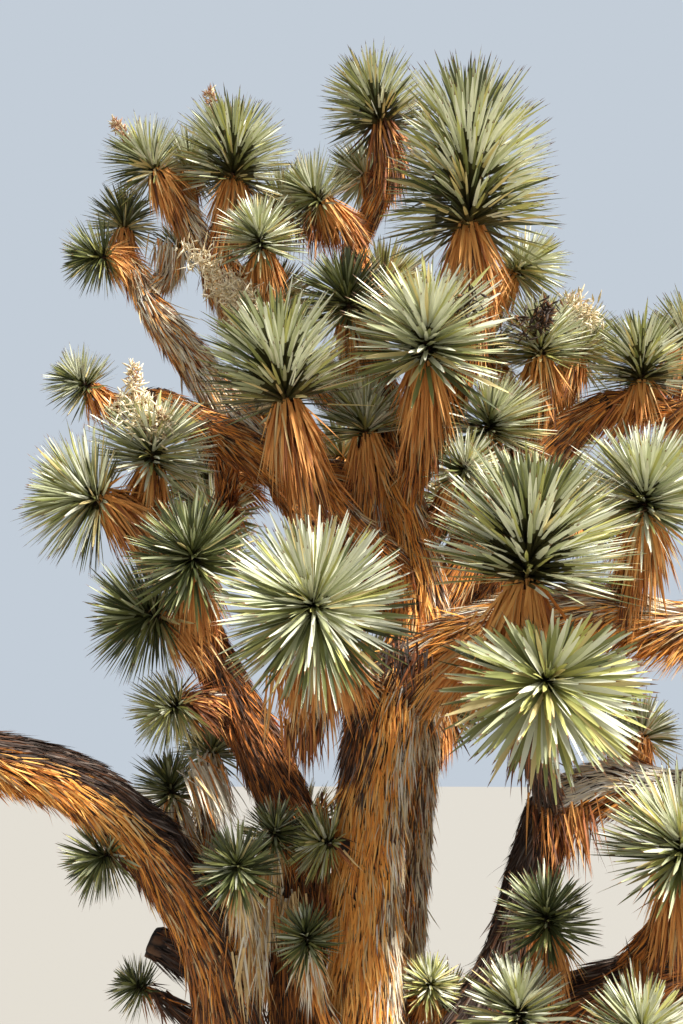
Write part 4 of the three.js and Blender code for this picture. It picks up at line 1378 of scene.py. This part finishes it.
def spindles(start, end, radius, profile, sides, tints):
    """Closed spindles, one for each row: at each share of its length the radius times the profile there.

    They come as points, triangles, material numbers and UVs. The tints are one for all, or one for each.
    """
    way = unit(end - start)
    side = across(way, SLANT)
    turn = np.linspace(0, 2 * np.pi, sides, endpoint=False)
    share, breadth = np.array(profile).T
    ring = leant(side[:, None], np.cross(side, way)[:, None], turn)
    middle = start[:, None] + (end - start)[:, None] * share[:, None]
    rows = middle[:, :, None] + ring[:, None] * (radius[:, None] * breadth)[..., None, None]
    points = np.concatenate([rows.reshape(len(start), -1, 3), middle[:, [0, -1]]], axis=1)
    pattern = tube_triangles(len(share), sides)
    triangles = (np.arange(len(start))[:, None, None] * points.shape[1] + pattern).reshape(-1, 3)
    which = np.broadcast_to(np.array(tints).reshape(-1, 1), (len(start), len(pattern))).ravel()
    return points.reshape(-1, 3), triangles, which, np.zeros((points.size // 3, 2))


def panicle(foot, top, spread, tints):
    """One dry panicle: a stalk, side branches by the golden angle on its upper part, and bracts on them.

    The longest branch is the spread, and they shorten to both ends of the flowered part.
    """
    brown = FLOWER["stalk_brown"]
    parts = [spindles(foot[None], top[None], np.array([STALK_RADIUS]), STALK_PROFILE, STALK_SIDES, brown)]
    order = np.arange(BRANCHES)
    up = (order + 0.5) / BRANCHES
    start = foot + (top - foot) * (FLOWERED_FROM + FLOWERED_PART * up)[:, None]
    ways = np.tile(unit(top - foot), (BRANCHES, 1))
    out = spun(ways, order * GOLDEN_ANGLE)
    reach = spread * np.sin(np.pi * (0.12 + 0.8 * up)) * rng.uniform(0.7, 1.1, BRANCHES)
    end = start + leant(ways, out, rng.uniform(0.6, 1.1, BRANCHES)) * reach[:, None]
    parts.append(spindles(start, end, np.full(BRANCHES, BRANCH_RADIUS), STALK_PROFILE, 3, FLOWER[tints[3]]))
    for bract in range(BRACTS_PER_BRANCH):
        base = start + (end - start) * ((bract + 1) / BRACTS_PER_BRANCH)
        tilt = unit(out + ways * 0.7 + rng.normal(0, 0.7, (BRANCHES, 3)))
        tip = base + tilt * rng.uniform(*BRACT_LENGTHS, BRANCHES)[:, None]
        radius = rng.uniform(*BRACT_RADII, BRANCHES)
        parts.append(spindles(base, tip, radius, BRACT_PROFILE, 3, FLOWER[tints[bract % 4]]))
    return joined(parts)


def head_panicle(h, spread, tints):
    """The panicle of a head that has flowered: it leans out of the head's leaves."""
    foot = column_point(h, np.array(0.0))
    way = unit(h["aim"] + np.array([-0.35, -0.1, 0.3]))
    return panicle(foot, foot + way * (0.42 * h["leaf"] + h["flower"]), spread, tints)


def tangle(route, reach, count, tints):
    """Dry flower branches that have sunk into a heap: curls of two spindles round a route, in millimetres.

    The second half of a curl turns away from the first.
    """
    start = near(route, reach, count)
    way = unit(rng.normal(0, 1, (count, 3)))
    length = rng.uniform(*CURL_LENGTHS, count)[:, None]
    bend = start + way * length
    end = bend + unit(way + rng.normal(0, 0.8, (count, 3))) * length
    radius = rng.uniform(*CURL_RADII, count)
    numbers = [FLOWER[name] for name in tints]
    return joined([spindles(a, b, radius, BRACT_PROFILE, 3, rng.choice(numbers, count))
                   for a, b in ((start, bend), (bend, end))])


# Each sunken panicle's foot, top, spread and colours, and each heap's route, reach, count and colours.
SUNKEN_PANICLES = [
    ((392, -200, 2935), (336, -425, 2790), 22, OLD_PODS), ((600, 0, 2830), (606, -190, 2885), 24, OLD_PODS),
    ((-560, -150, 2450), (-500, -260, 2530), 50, FRESH),
]
TANGLES = [
    (((-492, 30, 3204), (-408, 35, 3115), (-317, 30, 3004), (-270, 20, 2965)), 18, 260, CREAM),
    (((-340, 0, 3030), (-290, -10, 2960)), 26, 190, CREAM),
    (((-630, -230, 2589), (-563, -240, 2534), (-509, -240, 2480)), 16, 110, CREAM),
    (((740, 70, 2985), (790, 80, 2990)), 18, 150, CREAM),
    (((316, -425, 2762), (352, -420, 2792)), 12, 50, OLD_PODS),
    (((530, -185, 2824), (612, -190, 2885)), 10, 50, OLD_PODS),
]
HEAD_SPREADS = (0.024, 0.02, 0.036, 0.07)
flowered = [h for h in heads if h["flower"] > 0]
panicles = [head_panicle(h, spread, tints) for h, spread, tints in zip(
    flowered, HEAD_SPREADS, (PINK, PINK, FRESH, FRESH), strict=True)]
panicles += [panicle(np.array(foot) * MM, np.array(top) * MM, spread * MM, tints)
             for foot, top, spread, tints in SUNKEN_PANICLES]
panicles += [tangle(*row) for row in TANGLES]
points, triangles, which, uv = joined(panicles)
new_piece("flower_stalks", points, triangles, flower_materials, which, uv)
print(len(panicles), "flower stalks and heaps:", len(triangles), "faces")

# %% [markdown]
# ## Finish
#
# The dressed tree has to keep the size of the solids. At the end the view layer is brought up to date.

# %% Finish
bpy.context.view_layer.update()
